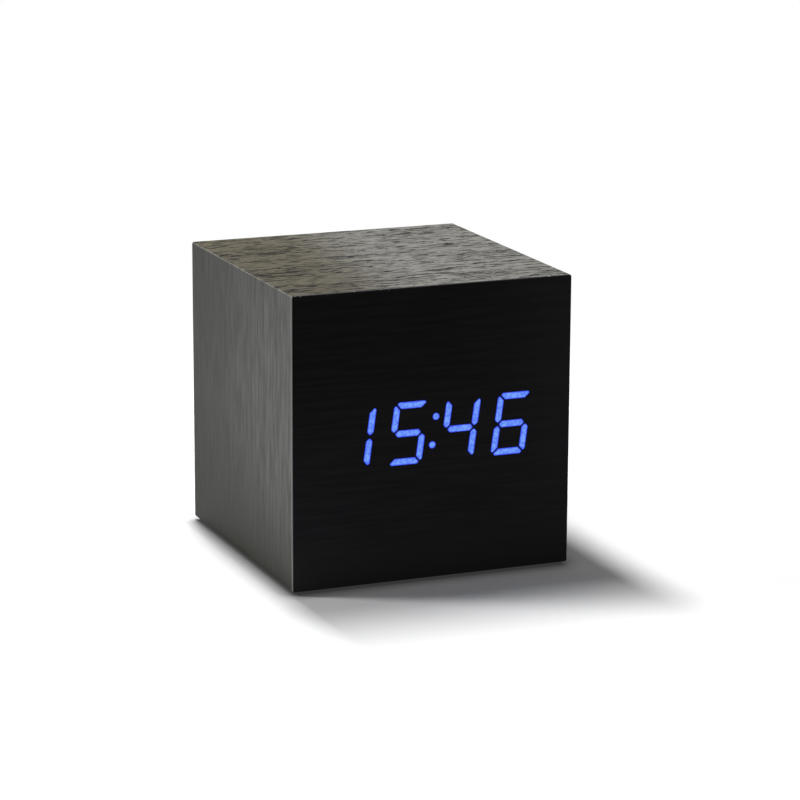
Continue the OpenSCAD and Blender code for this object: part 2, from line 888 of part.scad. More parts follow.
module main_pcb() {
    color("#245f3a")
        difference() {
            block([-main_x, main_y0, main_z0], [main_x, main_y1, main_z1]);
            main_screw_places()
                translate([0, 0, -pcb_t - cut])
                    cylinder(d = small_screw[0] + 2 * fit_gap, h = pcb_t + 2 * cut);
        }
}

module main_screws() {
    color("#b9bcc0")
        main_screw_places()
            screw(small_screw, pcb_t + post_grip);
}

module controller_chip() {
    color("#1a1a1c")
        block([-chip_w / 2, main_y0 - chip_d, bay_mid_z - chip_z / 2],
              [chip_w / 2, main_y0, bay_mid_z + chip_z / 2]);
}

module crystal() {
    color("#c2c5c8")
        translate([crystal_x, main_y0 - crystal_d / 2, bay_mid_z - crystal_l / 2])
            cylinder(d = crystal_d, h = crystal_l);
}

module buzzer() {
    color("#1d1d1f")
        difference() {
            round_y(buzzer_x, buzzer_z, buzzer_d, main_y0 - buzzer_l, main_y0);
            round_y(buzzer_x, buzzer_z, buzzer_hole, main_y0 - buzzer_l - cut, main_y0 - buzzer_l + cut);
        }
}

module filter_capacitor() {
    color("#26355c")
        translate([can_x, main_y0, can_z])
            rotate([90, 0, 0])
                rotate_extrude() {
                    area([0, 0], [can_d / 2, can_l - can_r]);
                    area([0, 0], [can_d / 2 - can_r, can_l]);
                    translate([can_d / 2 - can_r, can_l - can_r])
                        circle(can_r);
                }
}

module link_pins() {
    color("#d8b24a")
        for (i = [0:pin_n - 1])
            along_y(main_y1, key_y0)
                translate([(station_x(2) + station_x(3)) / 2 + (i - (pin_n - 1) / 2) * pin_pitch, boss_z])
                    square(pin_s, center = true);
}

module key_pcb() {
    color("#2a6a42")
        difference() {
            block([-key_x, key_y0, key_z - key_h / 2], [key_x, key_y1, key_z + key_h / 2]);
            key_screw_places()
                translate([0, 0, -pcb_t - cut])
                    cylinder(d = small_screw[0] + 2 * fit_gap, h = pcb_t + 2 * cut);
        }
}

module key_screws() {
    color("#b9bcc0")
        key_screw_places()
            screw(small_screw, pcb_t + boss_grip);
}

module switch_bodies() {
    color("#3a3a3d")
        for (i = [0:2])
            difference() {
                along_y(key_y1, key_y1 + switch_h)
                    translate([station_x(i), key_z])
                        square(switch_s, center = true);
                round_y(station_x(i), key_z, plunger_d + 2 * key_gap,
                       plunger_in - key_travel - plunger_room, key_y1 + switch_h + cut);
            }
}

// Plunger of switch i
module plunger(i) {
    color("#d9d2c0")
        round_y(station_x(i), key_z, plunger_d, plunger_in, cap_y0);
}

// Key cap i: a round cap with a soft dished top and a flange under the cover
module key_cap(i) {
    cap_l = cap_y1 - cap_y0;
    color("#3b3c40")
        translate([station_x(i), cap_y0, key_z])
            rotate([-90, 0, 0])
                difference() {
                    rotate_extrude() {
                        area([0, 0], [key_d / 2 + flange_w, flange_t]);
                        area([0, 0], [key_d / 2, cap_l - cap_r]);
                        area([0, 0], [key_d / 2 - cap_r, cap_l]);
                        translate([key_d / 2 - cap_r, cap_l - cap_r])
                            circle(cap_r);
                    }
                    translate([0, 0, cap_l - dish_depth + dish_r])
                        sphere(dish_r);
                }
}

module set_plunger() { plunger(0); }

module up_plunger() { plunger(1); }

module down_plunger() { plunger(2); }

module set_button() { key_cap(0); }

module up_button() { key_cap(1); }

module down_button() { key_cap(2); }

// Barrel inlet: square body on the key board with a nozzle through the cover
module dc_jack() {
    color("#202124")
        difference() {
            union() {
                along_y(key_y1, cover_in)
                    translate([station_x(3), key_z])
                        square(inlet_s, center = true);
                round_y(station_x(3), key_z, nozzle_d, inlet_floor, cover_out);
            }
            round_y(station_x(3), key_z, inlet_bore_d, inlet_floor, cover_out + cut);
        }
}

module dc_pin() {
    color("#d8b24a")
        round_y(station_x(3), key_z, inlet_pin_d, inlet_floor, cover_out - pin_short);
}

wrap_veneer();
front_veneer();
top_board();
bottom_board();
left_board();
right_board();
front_board();
corner_blocks();
rubber_feet();
display_housing();
lit_segments();
unlit_segments();
led_chips();
display_pcb();
display_screws();
ribbon_sockets();
display_ribbon();
rear_cover();
rear_screws();
battery_door();
battery_cells();
battery_springs();
battery_contacts();
main_pcb();
main_screws();
controller_chip();
crystal();
buzzer();
filter_capacitor();
link_pins();
key_pcb();
key_screws();
switch_bodies();
set_plunger();
up_plunger();
down_plunger();
set_button();
up_button();
down_button();
dc_jack();
dc_pin();
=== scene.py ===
# %% [markdown]
# A cube alarm clock covered in black-stained veneer, with blue figures that shine through the front.
# The imported model is loaded as a fixed frame: every piece is already in place, in metres, so this
# script adds finishes, light, the camera and the small pieces that are too fine for the solids.

# %% Load the frame
import json
import math

import bmesh
import bpy
from mathutils import Euler, Matrix, Vector


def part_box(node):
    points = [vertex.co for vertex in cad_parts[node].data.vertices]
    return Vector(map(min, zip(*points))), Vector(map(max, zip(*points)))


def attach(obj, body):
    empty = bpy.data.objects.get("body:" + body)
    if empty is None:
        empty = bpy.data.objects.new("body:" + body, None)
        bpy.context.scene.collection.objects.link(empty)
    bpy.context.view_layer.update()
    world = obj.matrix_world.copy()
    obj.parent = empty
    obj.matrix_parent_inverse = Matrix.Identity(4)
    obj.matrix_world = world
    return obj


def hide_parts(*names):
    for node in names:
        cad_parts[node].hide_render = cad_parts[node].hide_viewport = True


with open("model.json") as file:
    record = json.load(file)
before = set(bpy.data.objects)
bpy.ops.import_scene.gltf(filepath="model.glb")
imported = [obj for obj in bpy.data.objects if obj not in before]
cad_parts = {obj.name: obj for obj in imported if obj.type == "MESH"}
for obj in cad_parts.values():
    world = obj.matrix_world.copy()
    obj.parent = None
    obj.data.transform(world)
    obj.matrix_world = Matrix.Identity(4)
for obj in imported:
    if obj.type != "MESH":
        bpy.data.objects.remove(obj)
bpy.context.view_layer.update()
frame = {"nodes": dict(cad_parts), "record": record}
nodes = frame["nodes"]
scene = bpy.context.scene
mm = 0.001


def in_mm(lengths):
    """Lengths in millimetres, rounded for printing."""
    return [round(length / mm, 2) for length in lengths]


# %% [markdown]
# The photograph was taken from the left and a little above, with a long lens: the upright edges stay
# almost parallel. The view was found by fitting seven edges of the case, to a third of a pixel, so the
# camera is written as a turn, a height angle, a small roll, a distance and the point it looks at.

# %% Camera
view_turn = math.radians(-22.396)
view_height = math.radians(13.758)
view_roll = math.radians(0.257)
view_distance = 748.7 * mm
view_target = Vector((5.856, 0.0, 34.151)) * mm
sensor_width = 36.0
lens_length = 142.56
near_clip = 0.05
far_clip = 40.0

camera_data = bpy.data.cameras.new("photo_camera")
camera_data.sensor_width = sensor_width
camera_data.lens = lens_length
camera_data.clip_start = near_clip
camera_data.clip_end = far_clip
camera = bpy.data.objects.new("photo_camera", camera_data)
scene.collection.objects.link(camera)
backwards = Vector((
    math.sin(view_turn) * math.cos(view_height),
    -math.cos(view_turn) * math.cos(view_height),
    math.sin(view_height),
))
level = Vector((0, 0, 1)).cross(backwards).normalized()
upwards = backwards.cross(level)
rolled_level = level * math.cos(view_roll) + upwards * math.sin(view_roll)
rolled_up = upwards * math.cos(view_roll) - level * math.sin(view_roll)
turned = Matrix((rolled_level, rolled_up, backwards)).transposed().to_4x4()
camera.matrix_world = Matrix.Translation(view_target + backwards * view_distance) @ turned
scene.camera = camera
print("camera at mm", in_mm(camera.matrix_world.translation))

# %% [markdown]
# Shader trees get long when every node takes four lines. A few small helpers keep the recipes short:
# one adds a node and fills its inputs with numbers or links, the others do one step of arithmetic,
# stretch a value over a new range, or mix two colours or two numbers.

# %% Helpers for shader trees
def set_input(tree, socket, value):
    """Fills a socket with a value, or links another socket to it."""
    if isinstance(value, bpy.types.NodeSocket):
        tree.links.new(value, socket)
    else:
        socket.default_value = value


def add(tree, kind, inputs=None, **settings):
    """Adds a node, sets its options and fills its inputs with values or with links."""
    made = tree.nodes.new(kind)
    for option, value in settings.items():
        setattr(made, option, value)
    for name, value in (inputs or {}).items():
        set_input(tree, made.inputs[name], value)
    return made


def step(tree, operation, first, second=0.0, third=0.0):
    """One step of arithmetic; returns the output socket."""
    return add(tree, "ShaderNodeMath", {0: first, 1: second, 2: third}, operation=operation).outputs[0]


def vector_step(tree, operation, first, second):
    """One step of arithmetic with vectors; returns the output socket."""
    return add(tree, "ShaderNodeVectorMath", {0: first, 1: second}, operation=operation).outputs[0]


def spread(tree, value, low, high, to_low=0.0, to_high=1.0):
    """Stretches the part of a value between low and high softly over a new range."""
    inputs = {"Value": value, "From Min": low, "From Max": high, "To Min": to_low, "To Max": to_high}
    return add(tree, "ShaderNodeMapRange", inputs, interpolation_type="SMOOTHSTEP").outputs["Result"]


def between(tree, share, at_none, at_full):
    """Goes softly from one value, where a share is 0, to another, where it is 1."""
    return spread(tree, share, 0.0, 1.0, at_none, at_full)


def mix_value(tree, share, first, second):
    """Mixes two numbers by a share; returns the number socket."""
    return add(tree, "ShaderNodeMix", {0: share, 2: first, 3: second}, data_type="FLOAT").outputs[0]


def mix_colour(tree, share, first, second):
    """Mixes two colours by a share; returns the colour socket."""
    return add(tree, "ShaderNodeMix", {0: share, 6: first, 7: second}, data_type="RGBA").outputs[2]


def paint(red, green, blue):
    """A colour for a socket, from its linear parts."""
    return (red, green, blue, 1.0)


print("helpers ready")

# %% [markdown]
# The clock stands on plain white paper. In the photograph its shadow falls forwards and opens to both
# sides, which only a lamp close by can do: a narrow soft box 0.35 m above the table, a little behind the
# clock, with its long side front to back. A weak lamp further off to the left and a dim even sky help.
# The sky is dim as light, but looks white to the camera, in reflections and through clear pieces.

# %% Soft boxes and sky
main_place = Vector((-0.017, 0.112, 0.353))
main_turn = 0.1
side_place = Vector((-0.679, 0.301, 0.538))
sky_strength = 0.092

scene.view_settings.view_transform = "Standard"


def soft_box(name, place, rotation, width, depth, watts):
    """An oval soft box, in metres and watts, that the camera does not see."""
    lamp_data = bpy.data.lights.new(name, "AREA")
    lamp_data.shape = "ELLIPSE"
    lamp_data.size = width
    lamp_data.size_y = depth
    lamp_data.energy = watts
    lamp = bpy.data.objects.new(name, lamp_data)
    lamp.location = place
    lamp.rotation_euler = rotation
    lamp.visible_camera = False
    scene.collection.objects.link(lamp)


def seen_directly(tree):
    """1 for rays from the camera, a reflection or a clear material, 0 for light that is handed on."""
    path = add(tree, "ShaderNodeLightPath")
    seen = step(tree, "MAXIMUM", path.outputs["Is Camera Ray"], path.outputs["Is Glossy Ray"])
    return step(tree, "MAXIMUM", seen, path.outputs["Is Transmission Ray"])


soft_box("main_soft_box", main_place, Euler((0, 0, main_turn)), width=0.050, depth=0.200, watts=1.18)
towards_clock = side_place.to_track_quat("Z", "Y").to_euler()
soft_box("side_soft_box", side_place, towards_clock, width=0.190, depth=0.175, watts=2.40)

world = bpy.data.worlds.new("studio_sky")
world.use_nodes = True
scene.world = world
sky = world.node_tree
sky.nodes.clear()
sky_level = mix_value(sky, seen_directly(sky), sky_strength, 1.0)
sky_light = add(sky, "ShaderNodeBackground", {"Color": paint(1, 1, 1), "Strength": sky_level})
add(sky, "ShaderNodeOutputWorld", {"Surface": sky_light.outputs[0]})
print("soft boxes at mm", in_mm(main_place), "and", in_mm(side_place))

# %% [markdown]
# Paper under a near lamp gets darker with distance, so its white is raised by as much, and far away it
# is plain white. A little painted light on the paper keeps the gap under the case from turning black,
# and a narrow contact shade draws the line where the case meets its shadow. All of this is for the
# camera and for reflections only: light that is handed on finds plain grey paper.

# %% White paper
floor_half = 8.0
# how fast the main light falls off to the side and to the front, and its share of the light
main_fall = Vector((2.76, 2.68, 0.0))
main_share = 0.83
# painted light that lifts the darkest shadow on the paper, for the camera and reflections
paper_painted_light = 0.035
paper_grey = 0.55
contact_reach = 4.5 * mm
contact_power = 1.6
# the shadow is kept as far as paper_near from the clock, and paper_far from it all is white
paper_near = 0.17
paper_far = 0.27


def white_paper():
    """Paper that keeps the shadow near the clock and is plain white far from it."""
    material = bpy.data.materials.new("white_paper")
    material.use_nodes = True
    tree = material.node_tree
    tree.nodes.clear()
    seen = seen_directly(tree)
    place = add(tree, "ShaderNodeTexCoord").outputs["Object"]
    away = vector_step(tree, "SUBTRACT", place, main_place)
    away = vector_step(tree, "MULTIPLY", away, main_fall)
    # the share of the light that is left here, and the white that makes up for what is lost
    squared = add(tree, "ShaderNodeVectorMath", {0: away, 1: away}, operation="DOT_PRODUCT").outputs["Value"]
    left = step(tree, "POWER", step(tree, "ADD", squared, 1.0), -2.0)
    left = step(tree, "MULTIPLY_ADD", left, main_share, 1 - main_share)
    raised = step(tree, "DIVIDE", 1.0, left)
    contact = add(tree, "ShaderNodeAmbientOcclusion", {"Distance": contact_reach}, samples=8)
    contact_shade = step(tree, "POWER", contact.outputs["AO"], contact_power)
    white = mix_value(tree, seen, paper_grey, step(tree, "MULTIPLY", raised, contact_shade))
    grey = add(tree, "ShaderNodeCombineXYZ", {0: white, 1: white, 2: white}).outputs[0]
    lit = add(tree, "ShaderNodeBsdfDiffuse", {"Color": grey})
    # painted light, seen directly only
    painted_lift = add(tree, "ShaderNodeEmission", {"Strength": step(tree, "MULTIPLY", seen, paper_painted_light)})
    lit = add(tree, "ShaderNodeAddShader", {0: lit.outputs[0], 1: painted_lift.outputs[0]})
    plain = add(tree, "ShaderNodeEmission", {"Color": paint(1, 1, 1)})
    reach = add(tree, "ShaderNodeVectorMath", {0: place}, operation="LENGTH").outputs["Value"]
    far = step(tree, "MULTIPLY", seen, spread(tree, reach, paper_near, paper_far))
    mixed = add(tree, "ShaderNodeMixShader", {0: far, 1: lit.outputs[0], 2: plain.outputs[0]})
    add(tree, "ShaderNodeOutputMaterial", {"Surface": mixed.outputs[0]})
    return material


corners = [(x * floor_half, y * floor_half, 0) for x, y in ((-1, -1), (1, -1), (1, 1), (-1, 1))]
floor_mesh = bpy.data.meshes.new("paper_floor")
floor_mesh.from_pydata(corners, [], [(0, 1, 2, 3)])
floor_mesh.materials.append(white_paper())
floor = bpy.data.objects.new("paper_floor", floor_mesh)
scene.collection.objects.link(floor)
print("floor", 2 * floor_half, "m wide")

# %% [markdown]
# Open-pored veneer has long fibres, and short dark pores that lie in rows along them. A scanned picture
# of wood would show both, but noise that is stretched along the grain needs no picture and never repeats.
# The pores are cut out of the sum of three noises: a long one for the rows, a short one for the dashes in
# a row, and a slow one that makes them denser in patches. Lacquer draws back from an open pore and gathers
# in a rim round it. Three woods and the light in the front use this, so it is a node group.

# %% Helpers for groups
vector_socket = "NodeSocketVector"
number_socket = "NodeSocketFloat"


def new_group(name, inputs, outputs):
    """An empty shader group with named sockets; returns the tree, its input node and its output node."""
    tree = bpy.data.node_groups.new(name, "ShaderNodeTree")
    for socket, kind in inputs:
        tree.interface.new_socket(socket, in_out="INPUT", socket_type=kind)
    for socket in outputs:
        tree.interface.new_socket(socket, in_out="OUTPUT", socket_type=number_socket)
    return tree, tree.nodes.new("NodeGroupInput"), tree.nodes.new("NodeGroupOutput")


def put_out(tree, output_node, **values):
    """Links values to the outputs of a group."""
    for name, value in values.items():
        tree.links.new(value, output_node.inputs[name])


def place_in_mm(tree):
    """The place on the piece, in millimetres."""
    place = add(tree, "ShaderNodeTexCoord").outputs["Object"]
    return add(tree, "ShaderNodeVectorMath", {0: place, "Scale": 1 / mm}, operation="SCALE").outputs[0]


def noise(tree, place, scale, detail, seed):
    """Noise between 0 and 1 with its own seed."""
    inputs = {"Vector": place, "Scale": scale, "Detail": detail, "W": seed}
    return add(tree, "ShaderNodeTexNoise", inputs, noise_dimensions="4D").outputs["Fac"]


def over_noise(tree, value, to_low=0.0, to_high=1.0):
    """Stretches the part of a noise that most of it lies in over a new range."""
    return spread(tree, value, 0.3, 0.7, to_low, to_high)


print("group helpers ready")

# %% Grain group
row_share = 0.4
dash_share = 0.6
patch_share = 0.08
# the sum at which the rim of a pore begins, the pore begins, and the pore is fully open
rim_begins = 0.535
pore_begins = 0.564
pore_open = 0.576

grain_group, grain_in, grain_out = new_group(
    "open_grain", [("Stretch", vector_socket), ("Seed", number_socket)], ["Fibre", "Pore", "Rim", "Drift"])
stretch = grain_in.outputs["Stretch"]
on_sheet = place_in_mm(grain_group)
along_grain = vector_step(grain_group, "MULTIPLY", on_sheet, stretch)
along_rows = vector_step(grain_group, "MULTIPLY", along_grain, stretch)


def grain_noise(place, scale, shift, detail=1.0):
    """One noise of the grain; shift sets it apart from the others with the same seed."""
    own_seed = step(grain_group, "ADD", grain_in.outputs["Seed"], shift)
    return noise(grain_group, place, scale, detail, own_seed)


fibre = grain_noise(along_grain, scale=1.2, shift=0.0, detail=4.0)
row = grain_noise(along_rows, scale=2.1, shift=7.0)
dash = grain_noise(along_grain, scale=2.3, shift=3.0)
patch = grain_noise(along_grain, scale=0.15, shift=5.0)
drift = grain_noise(on_sheet, scale=0.03, shift=11.0)
summed = step(grain_group, "MULTIPLY_ADD", row, row_share, step(grain_group, "MULTIPLY", dash, dash_share))
summed = step(grain_group, "MULTIPLY_ADD", patch, patch_share, summed)
pore = spread(grain_group, summed, pore_begins, pore_open)
pore_rim = step(grain_group, "SUBTRACT", spread(grain_group, summed, rim_begins, pore_begins), pore)
put_out(grain_group, grain_out, Fibre=fibre, Pore=pore, Rim=pore_rim, Drift=drift)
print("group", grain_group.name, "with", len(grain_group.nodes), "nodes")

# %% [markdown]
# The wrap is one strip of veneer that goes round the left side, the top, the right side and the
# bottom, with its grain along the strip. It is stained black and has a thin satin lacquer. Seen along
# the surface, lacquer mirrors the bright room: that is what makes a black top look grey. A grey paint
# would look right from one side only, so the colour stays dark, and a coat that is missing in the pores
# does much of the rest. Light and sheen are painted in as well: the top is browner and duller to the
# left, the sides are paler and shinier upwards and to the front, and the top has another stain and a
# thicker coat than the sides.

# %% Helpers for finishes
finishes = {}


def new_material(name):
    """An empty material; returns it with its tree and a Principled shader that is wired to the output."""
    material = bpy.data.materials.new(name)
    material.use_nodes = True
    tree = material.node_tree
    tree.nodes.clear()
    shader = add(tree, "ShaderNodeBsdfPrincipled")
    add(tree, "ShaderNodeOutputMaterial", {"Surface": shader.outputs[0]})
    return material, tree, shader


def fill(tree, shader, **sockets):
    """Sets or links inputs of a shader; an underscore in a name stands for a space."""
    for name, value in sockets.items():
        set_input(tree, shader.inputs[name.replace("_", " ")], value)


def use_group(tree, group, **values):
    """Places a shader group with its own values; returns its outputs."""
    return add(tree, "ShaderNodeGroup", values, node_tree=group).outputs


def relief(tree, height, depth):
    """Turns a height into a bent normal; depth is in metres."""
    inputs = {"Height": height, "Distance": depth, "Strength": 1.0}
    return add(tree, "ShaderNodeBump", inputs).outputs["Normal"]


def parts_of(tree, vector):
    """The X, Y and Z of a vector."""
    return add(tree, "ShaderNodeSeparateXYZ", {0: vector}).outputs


def facing_parts(tree):
    """Parts of the direction that a surface looks in."""
    return parts_of(tree, add(tree, "ShaderNodeTexCoord").outputs["Normal"])


print("finish helpers ready")

# %% Stain of the wrap, with painted light and sheen
# places are in mm from the middle of the case, and heights from the table
grey_slant = -0.12
grey_from, grey_to = -26, 10
pale_from, pale_to = 4, 50
# stain colours with painted light: the top browner to the left, the sides paler upwards
top_brown = paint(0.047, 0.038, 0.013)
top_grey = paint(0.042, 0.036, 0.021)
side_low = paint(0.019, 0.0188, 0.0132)
side_high = paint(0.024, 0.0241, 0.0188)
# pale stain that paints a highlight along the long rounded edges
edge_highlight_pale = paint(0.15, 0.145, 0.125)
pore_black = paint(0.002, 0.002, 0.002)


def top_painted_light(tree, place, drift):
    """Painted light on the top: brownish and dull to the left, greyer and shinier to the right."""
    slanted = step(tree, "MULTIPLY_ADD", place["Y"], grey_slant, place["X"])
    greying = step(tree, "MULTIPLY_ADD", drift, 0.2, spread(tree, slanted, grey_from, grey_to))
    stain = mix_colour(tree, greying, top_brown, top_grey)
    return stain, spread(tree, greying, 0.1, 1.1, to_low=0.03, to_high=0.86)


def side_painted_light(tree, place):
    """Painted light on the sides: paler upwards, and shinier upwards and to the front."""
    stain = mix_colour(tree, spread(tree, place["Z"], pale_from, pale_to), side_low, side_high)
    lifted = step(tree, "ADD", place["Z"], spread(tree, place["Y"], -34, 4, to_low=8, to_high=0))
    forwards = spread(tree, place["Y"], -44, 44, to_low=0.53, to_high=0.1)
    return stain, step(tree, "MULTIPLY", forwards, spread(tree, lifted, 0, 44, to_low=0.1))


def painted_edge_highlight(tree, facing, fibre):
    """Painted highlight on the long rounded edges, more so on raised fibres."""
    across = step(tree, "MULTIPLY", step(tree, "ABSOLUTE", facing["X"]), step(tree, "ABSOLUTE", facing["Z"]))
    return step(tree, "MULTIPLY", spread(tree, across, 0.25, 0.5), spread(tree, fibre, 0.3, 0.6, to_low=0.4))


print("wrap: grey from", grey_from, "to", grey_to, "mm across the top")

# %% Wrap veneer
pore_depth = 0.06 * mm
satin_lacquer = 0.42


def wrap_finish():
    """Black stain under satin lacquer that follows the fibres and is missing in the pores, with painted light
    and sheen.
    """
    material, tree, shader = new_material("stained_wrap_veneer")
    grain = use_group(tree, grain_group, Stretch=(0.15, 1.0, 0.1), Seed=2.0)
    facing = facing_parts(tree)
    place = parts_of(tree, place_in_mm(tree))
    on_top = spread(tree, facing["Z"], 0.6, 0.95)
    pore = step(tree, "MULTIPLY", grain["Pore"], between(tree, on_top, 0.12, 1.0))
    # light and sheen painted by place, over the top and over the sides
    top_stain_with_painted_light, top_painted_sheen = top_painted_light(tree, place, grain["Drift"])
    side_stain_with_painted_light, side_painted_sheen = side_painted_light(tree, place)
    # the top and the sides take different stains: a painted difference of light on one strip of veneer
    stain = mix_colour(tree, on_top, side_stain_with_painted_light, top_stain_with_painted_light)
    # painted highlight along the long rounded edges
    stain = mix_colour(tree, painted_edge_highlight(tree, facing, grain["Fibre"]), stain, edge_highlight_pale)
    stain = mix_colour(tree, step(tree, "MULTIPLY", pore, 0.96), stain, pore_black)
    # a thinner coat on the sides than on top is painted sheen
    thin = between(tree, on_top, 0.45, 0.65)
    thick = between(tree, on_top, 1.5, 1.25)
    coat = spread(tree, grain["Fibre"], 0.25, 0.75, thin, thick)
    coat = step(tree, "MULTIPLY_ADD", step(tree, "MULTIPLY", grain["Rim"], on_top), 0.5, coat)
    coat = step(tree, "MULTIPLY", coat, mix_value(tree, on_top, side_painted_sheen, top_painted_sheen))
    coat = step(tree, "MULTIPLY", coat, between(tree, pore, 1.0, 0.05))
    height = step(tree, "SUBTRACT", step(tree, "MULTIPLY", grain["Fibre"], 0.3), pore)
    fill(tree, shader, Base_Color=stain, Roughness=between(tree, pore, 0.55, 0.9), Coat_Weight=coat,
         Specular_IOR_Level=0.15, Coat_Roughness=satin_lacquer, Normal=relief(tree, height, pore_depth))
    return material


finishes["black_veneer"] = wrap_finish()
print("wrap veneer:", finishes["black_veneer"].name)

# %% [markdown]
# The front is a separate sheet with level grain, stained almost to pure black and left matt, so that
# the light of the figures comes through it and the room does not show in it. Only faint level streaks
# are left of the grain. Light is painted into the stain: paler below, at the foot and to the right. The
# upright edges of the sheet are pale and lacquered, and the top edge has a few tiny chips.

# %% Front veneer
front_low, front_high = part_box("front_veneer")
top_edge = front_high.z / mm
# the front's stain, with painted light: darkest above, paler below, at the foot and to the right
front_shaded_upper = paint(0.0037, 0.0030, 0.0034)
front_shaded_upper_streak = paint(0.0062, 0.0054, 0.0058)
front_lit_lower = paint(0.0205, 0.0205, 0.0235)
front_lit_lower_streak = paint(0.0260, 0.0260, 0.0295)
front_lit_foot = paint(0.038, 0.038, 0.041)
front_lit_right = paint(0.027, 0.027, 0.0305)
pale_upright_rim = paint(0.29, 0.29, 0.275)
chipped_rim = paint(0.30, 0.29, 0.27)
streak_depth = 0.02 * mm
# chips reach this far down from the top edge, and are full this far from it, in mm
chip_reach, chip_full = 0.5, 0.2


def front_stain_with_painted_light(tree, place, streak, drift):
    """Dull black, browner above and bluer below, with painted light: paler below, at the foot and to the
    right.
    """
    # places are in mm, as for the wrap
    drifted = step(tree, "MULTIPLY_ADD", drift, 25.0, place["Z"])
    # painted light: paler downwards
    low = spread(tree, drifted, 10, 75, to_low=1.0, to_high=0.0)
    upper = mix_colour(tree, streak, front_shaded_upper, front_shaded_upper_streak)
    lower = mix_colour(tree, streak, front_lit_lower, front_lit_lower_streak)
    stain = mix_colour(tree, low, upper, lower)
    # painted light at the foot
    foot = spread(tree, place["Z"], 0, 18, to_low=1.0, to_high=0.0)
    stain = mix_colour(tree, foot, stain, front_lit_foot)
    # painted light to the right
    return mix_colour(tree, spread(tree, place["X"], 0, 60), stain, front_lit_right)


def front_finish():
    """Matt stain with painted light, faint level streaks, pale lacquered rims and a few chips along the top
    edge.
    """
    material, tree, shader = new_material("stained_front_veneer")
    grain = use_group(tree, grain_group, Stretch=(0.05, 1.0, 1.0), Seed=5.0)
    facing = facing_parts(tree)
    place = parts_of(tree, place_in_mm(tree))
    streak = spread(tree, grain["Fibre"], 0.35, 0.7)
    rim = spread(tree, step(tree, "ABSOLUTE", facing["X"]), 0.3, 0.8)
    top_rim = spread(tree, facing["Z"], 0.3, 0.8)
    stain = mix_colour(tree, rim, front_stain_with_painted_light(tree, place, streak, grain["Drift"]), pale_upright_rim)
    chips = spread(tree, noise(tree, place_in_mm(tree), scale=1.3, detail=1.0, seed=4.0), 0.66, 0.70)
    near_top = spread(tree, place["Z"], top_edge - chip_reach, top_edge - chip_full)
    stain = mix_colour(tree, step(tree, "MULTIPLY", chips, near_top), stain, chipped_rim)
    coat = step(tree, "MULTIPLY", step(tree, "MAXIMUM", rim, top_rim), 0.4)
    fill(tree, shader, Base_Color=stain, Roughness=between(tree, streak, 0.7, 0.6), Coat_Weight=coat,
         Specular_IOR_Level=0.06, Coat_Roughness=satin_lacquer,
         Normal=relief(tree, grain["Fibre"], streak_depth))
    return material


finishes["front_veneer"] = front_finish()
print("front veneer:", finishes["front_veneer"].name, "top edge at mm", round(top_edge, 2))

# %% [markdown]
# The figures are light that comes through the thin front sheet, so they look painted on it, with a
# soft border. A lamp behind the sheet would need see-through wood and many samples, so they are made as
# thin plates on the front, each with the outline of a lit segment, which is read from the front faces of
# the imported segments. The corners are rounded, because wood spreads the light, and a ring round the core
# carries a mask from border to core.

# %% Outlines of the lit segments
weld_within = 0.001 * mm
flat_within = 0.01 * mm


def front_outlines(node):
    """The outlines of a node's faces that look to the front, as lists of (x, z)."""
    work = bmesh.new()
    work.from_mesh(nodes[node].data)
    bmesh.ops.remove_doubles(work, verts=work.verts, dist=weld_within)
    foremost = min(v.co.y for v in work.verts)
    flat = [f for f in work.faces if all(v.co.y < foremost + flat_within for v in f.verts)]
    flat_set = set(flat)
    rims = {}
    for face in flat:
        for loop in face.loops:
            if not any(f is not face and f in flat_set for f in loop.edge.link_faces):
                rims[loop.vert.index] = loop.link_loop_next.vert
    work.verts.ensure_lookup_table()
    outlines = []
    while rims:
        outline = []
        index = next(iter(rims))
        while index in rims:
            outline.append(Vector((work.verts[index].co.x, work.verts[index].co.z)))
            index = rims.pop(index).index
        outlines.append(outline)
    work.free()
    return outlines


segments = front_outlines("lit_segments")
print("lit outlines:", len(segments), "points:", [len(s) for s in segments])

# %% Helpers for outlines
corner_share = 0.45


def rounded(outline, radius, points=4):
    """Rounds the corners of a convex outline; a corner takes less than half of an edge."""
    result = []
    count = len(outline)
    for i, corner in enumerate(outline):
        before = outline[i - 1] - corner
        after = outline[(i + 1) % count] - corner
        half = before.angle(after) / 2
        reach = min(radius / math.tan(half), before.length * corner_share, after.length * corner_share)
        start = corner + before.normalized() * reach
        end = corner + after.normalized() * reach
        for k in range(points + 1):
            t = k / points
            result.append(start * (1 - t) ** 2 + corner * 2 * t * (1 - t) + end * t ** 2)
    return result


def drawn_in(outline, inset):
    """Moves every point of a convex outline inwards."""
    middle = sum(outline, Vector((0, 0))) / len(outline)
    result = []
    count = len(outline)
    for i, point in enumerate(outline):
        along = (outline[(i + 1) % count] - outline[i - 1]).normalized()
        inwards = Vector((-along.y, along.x))
        if inwards.dot(middle - point) < 0:
            inwards = -inwards
        result.append(point + inwards * inset)
    return result


def join_rings(first, second, count):
    """Faces between two rings of as many points, from the number of each ring's first point."""
    faces = []
    for i in range(count):
        j = (i + 1) % count
        faces.append((first + i, first + j, second + j, second + i))
    return faces


print("outline helpers ready")

# %% Plates of light
front_y = front_low.y
glow_radius = 0.5 * mm
glow_grow = 0.035 * mm
border_width = 0.32 * mm
glow_proud = 0.02 * mm
glow_sunk = 0.02 * mm
# an outline with as many points as this is a round dot and needs no rounding
dot_points = 16
display_off = Vector((0.19, 0.14)) * mm
display_width = 0.992


def set_in_window(outlines):
    """Moves the figures by the play of the display in its window and narrows them a hair."""
    across = [p.x for outline in outlines for p in outline]
    middle = (min(across) + max(across)) / 2
    moved = []
    for outline in outlines:
        narrowed = [Vector((middle + (p.x - middle) * display_width, p.y)) for p in outline]
        moved.append([p + display_off for p in narrowed])
    return moved


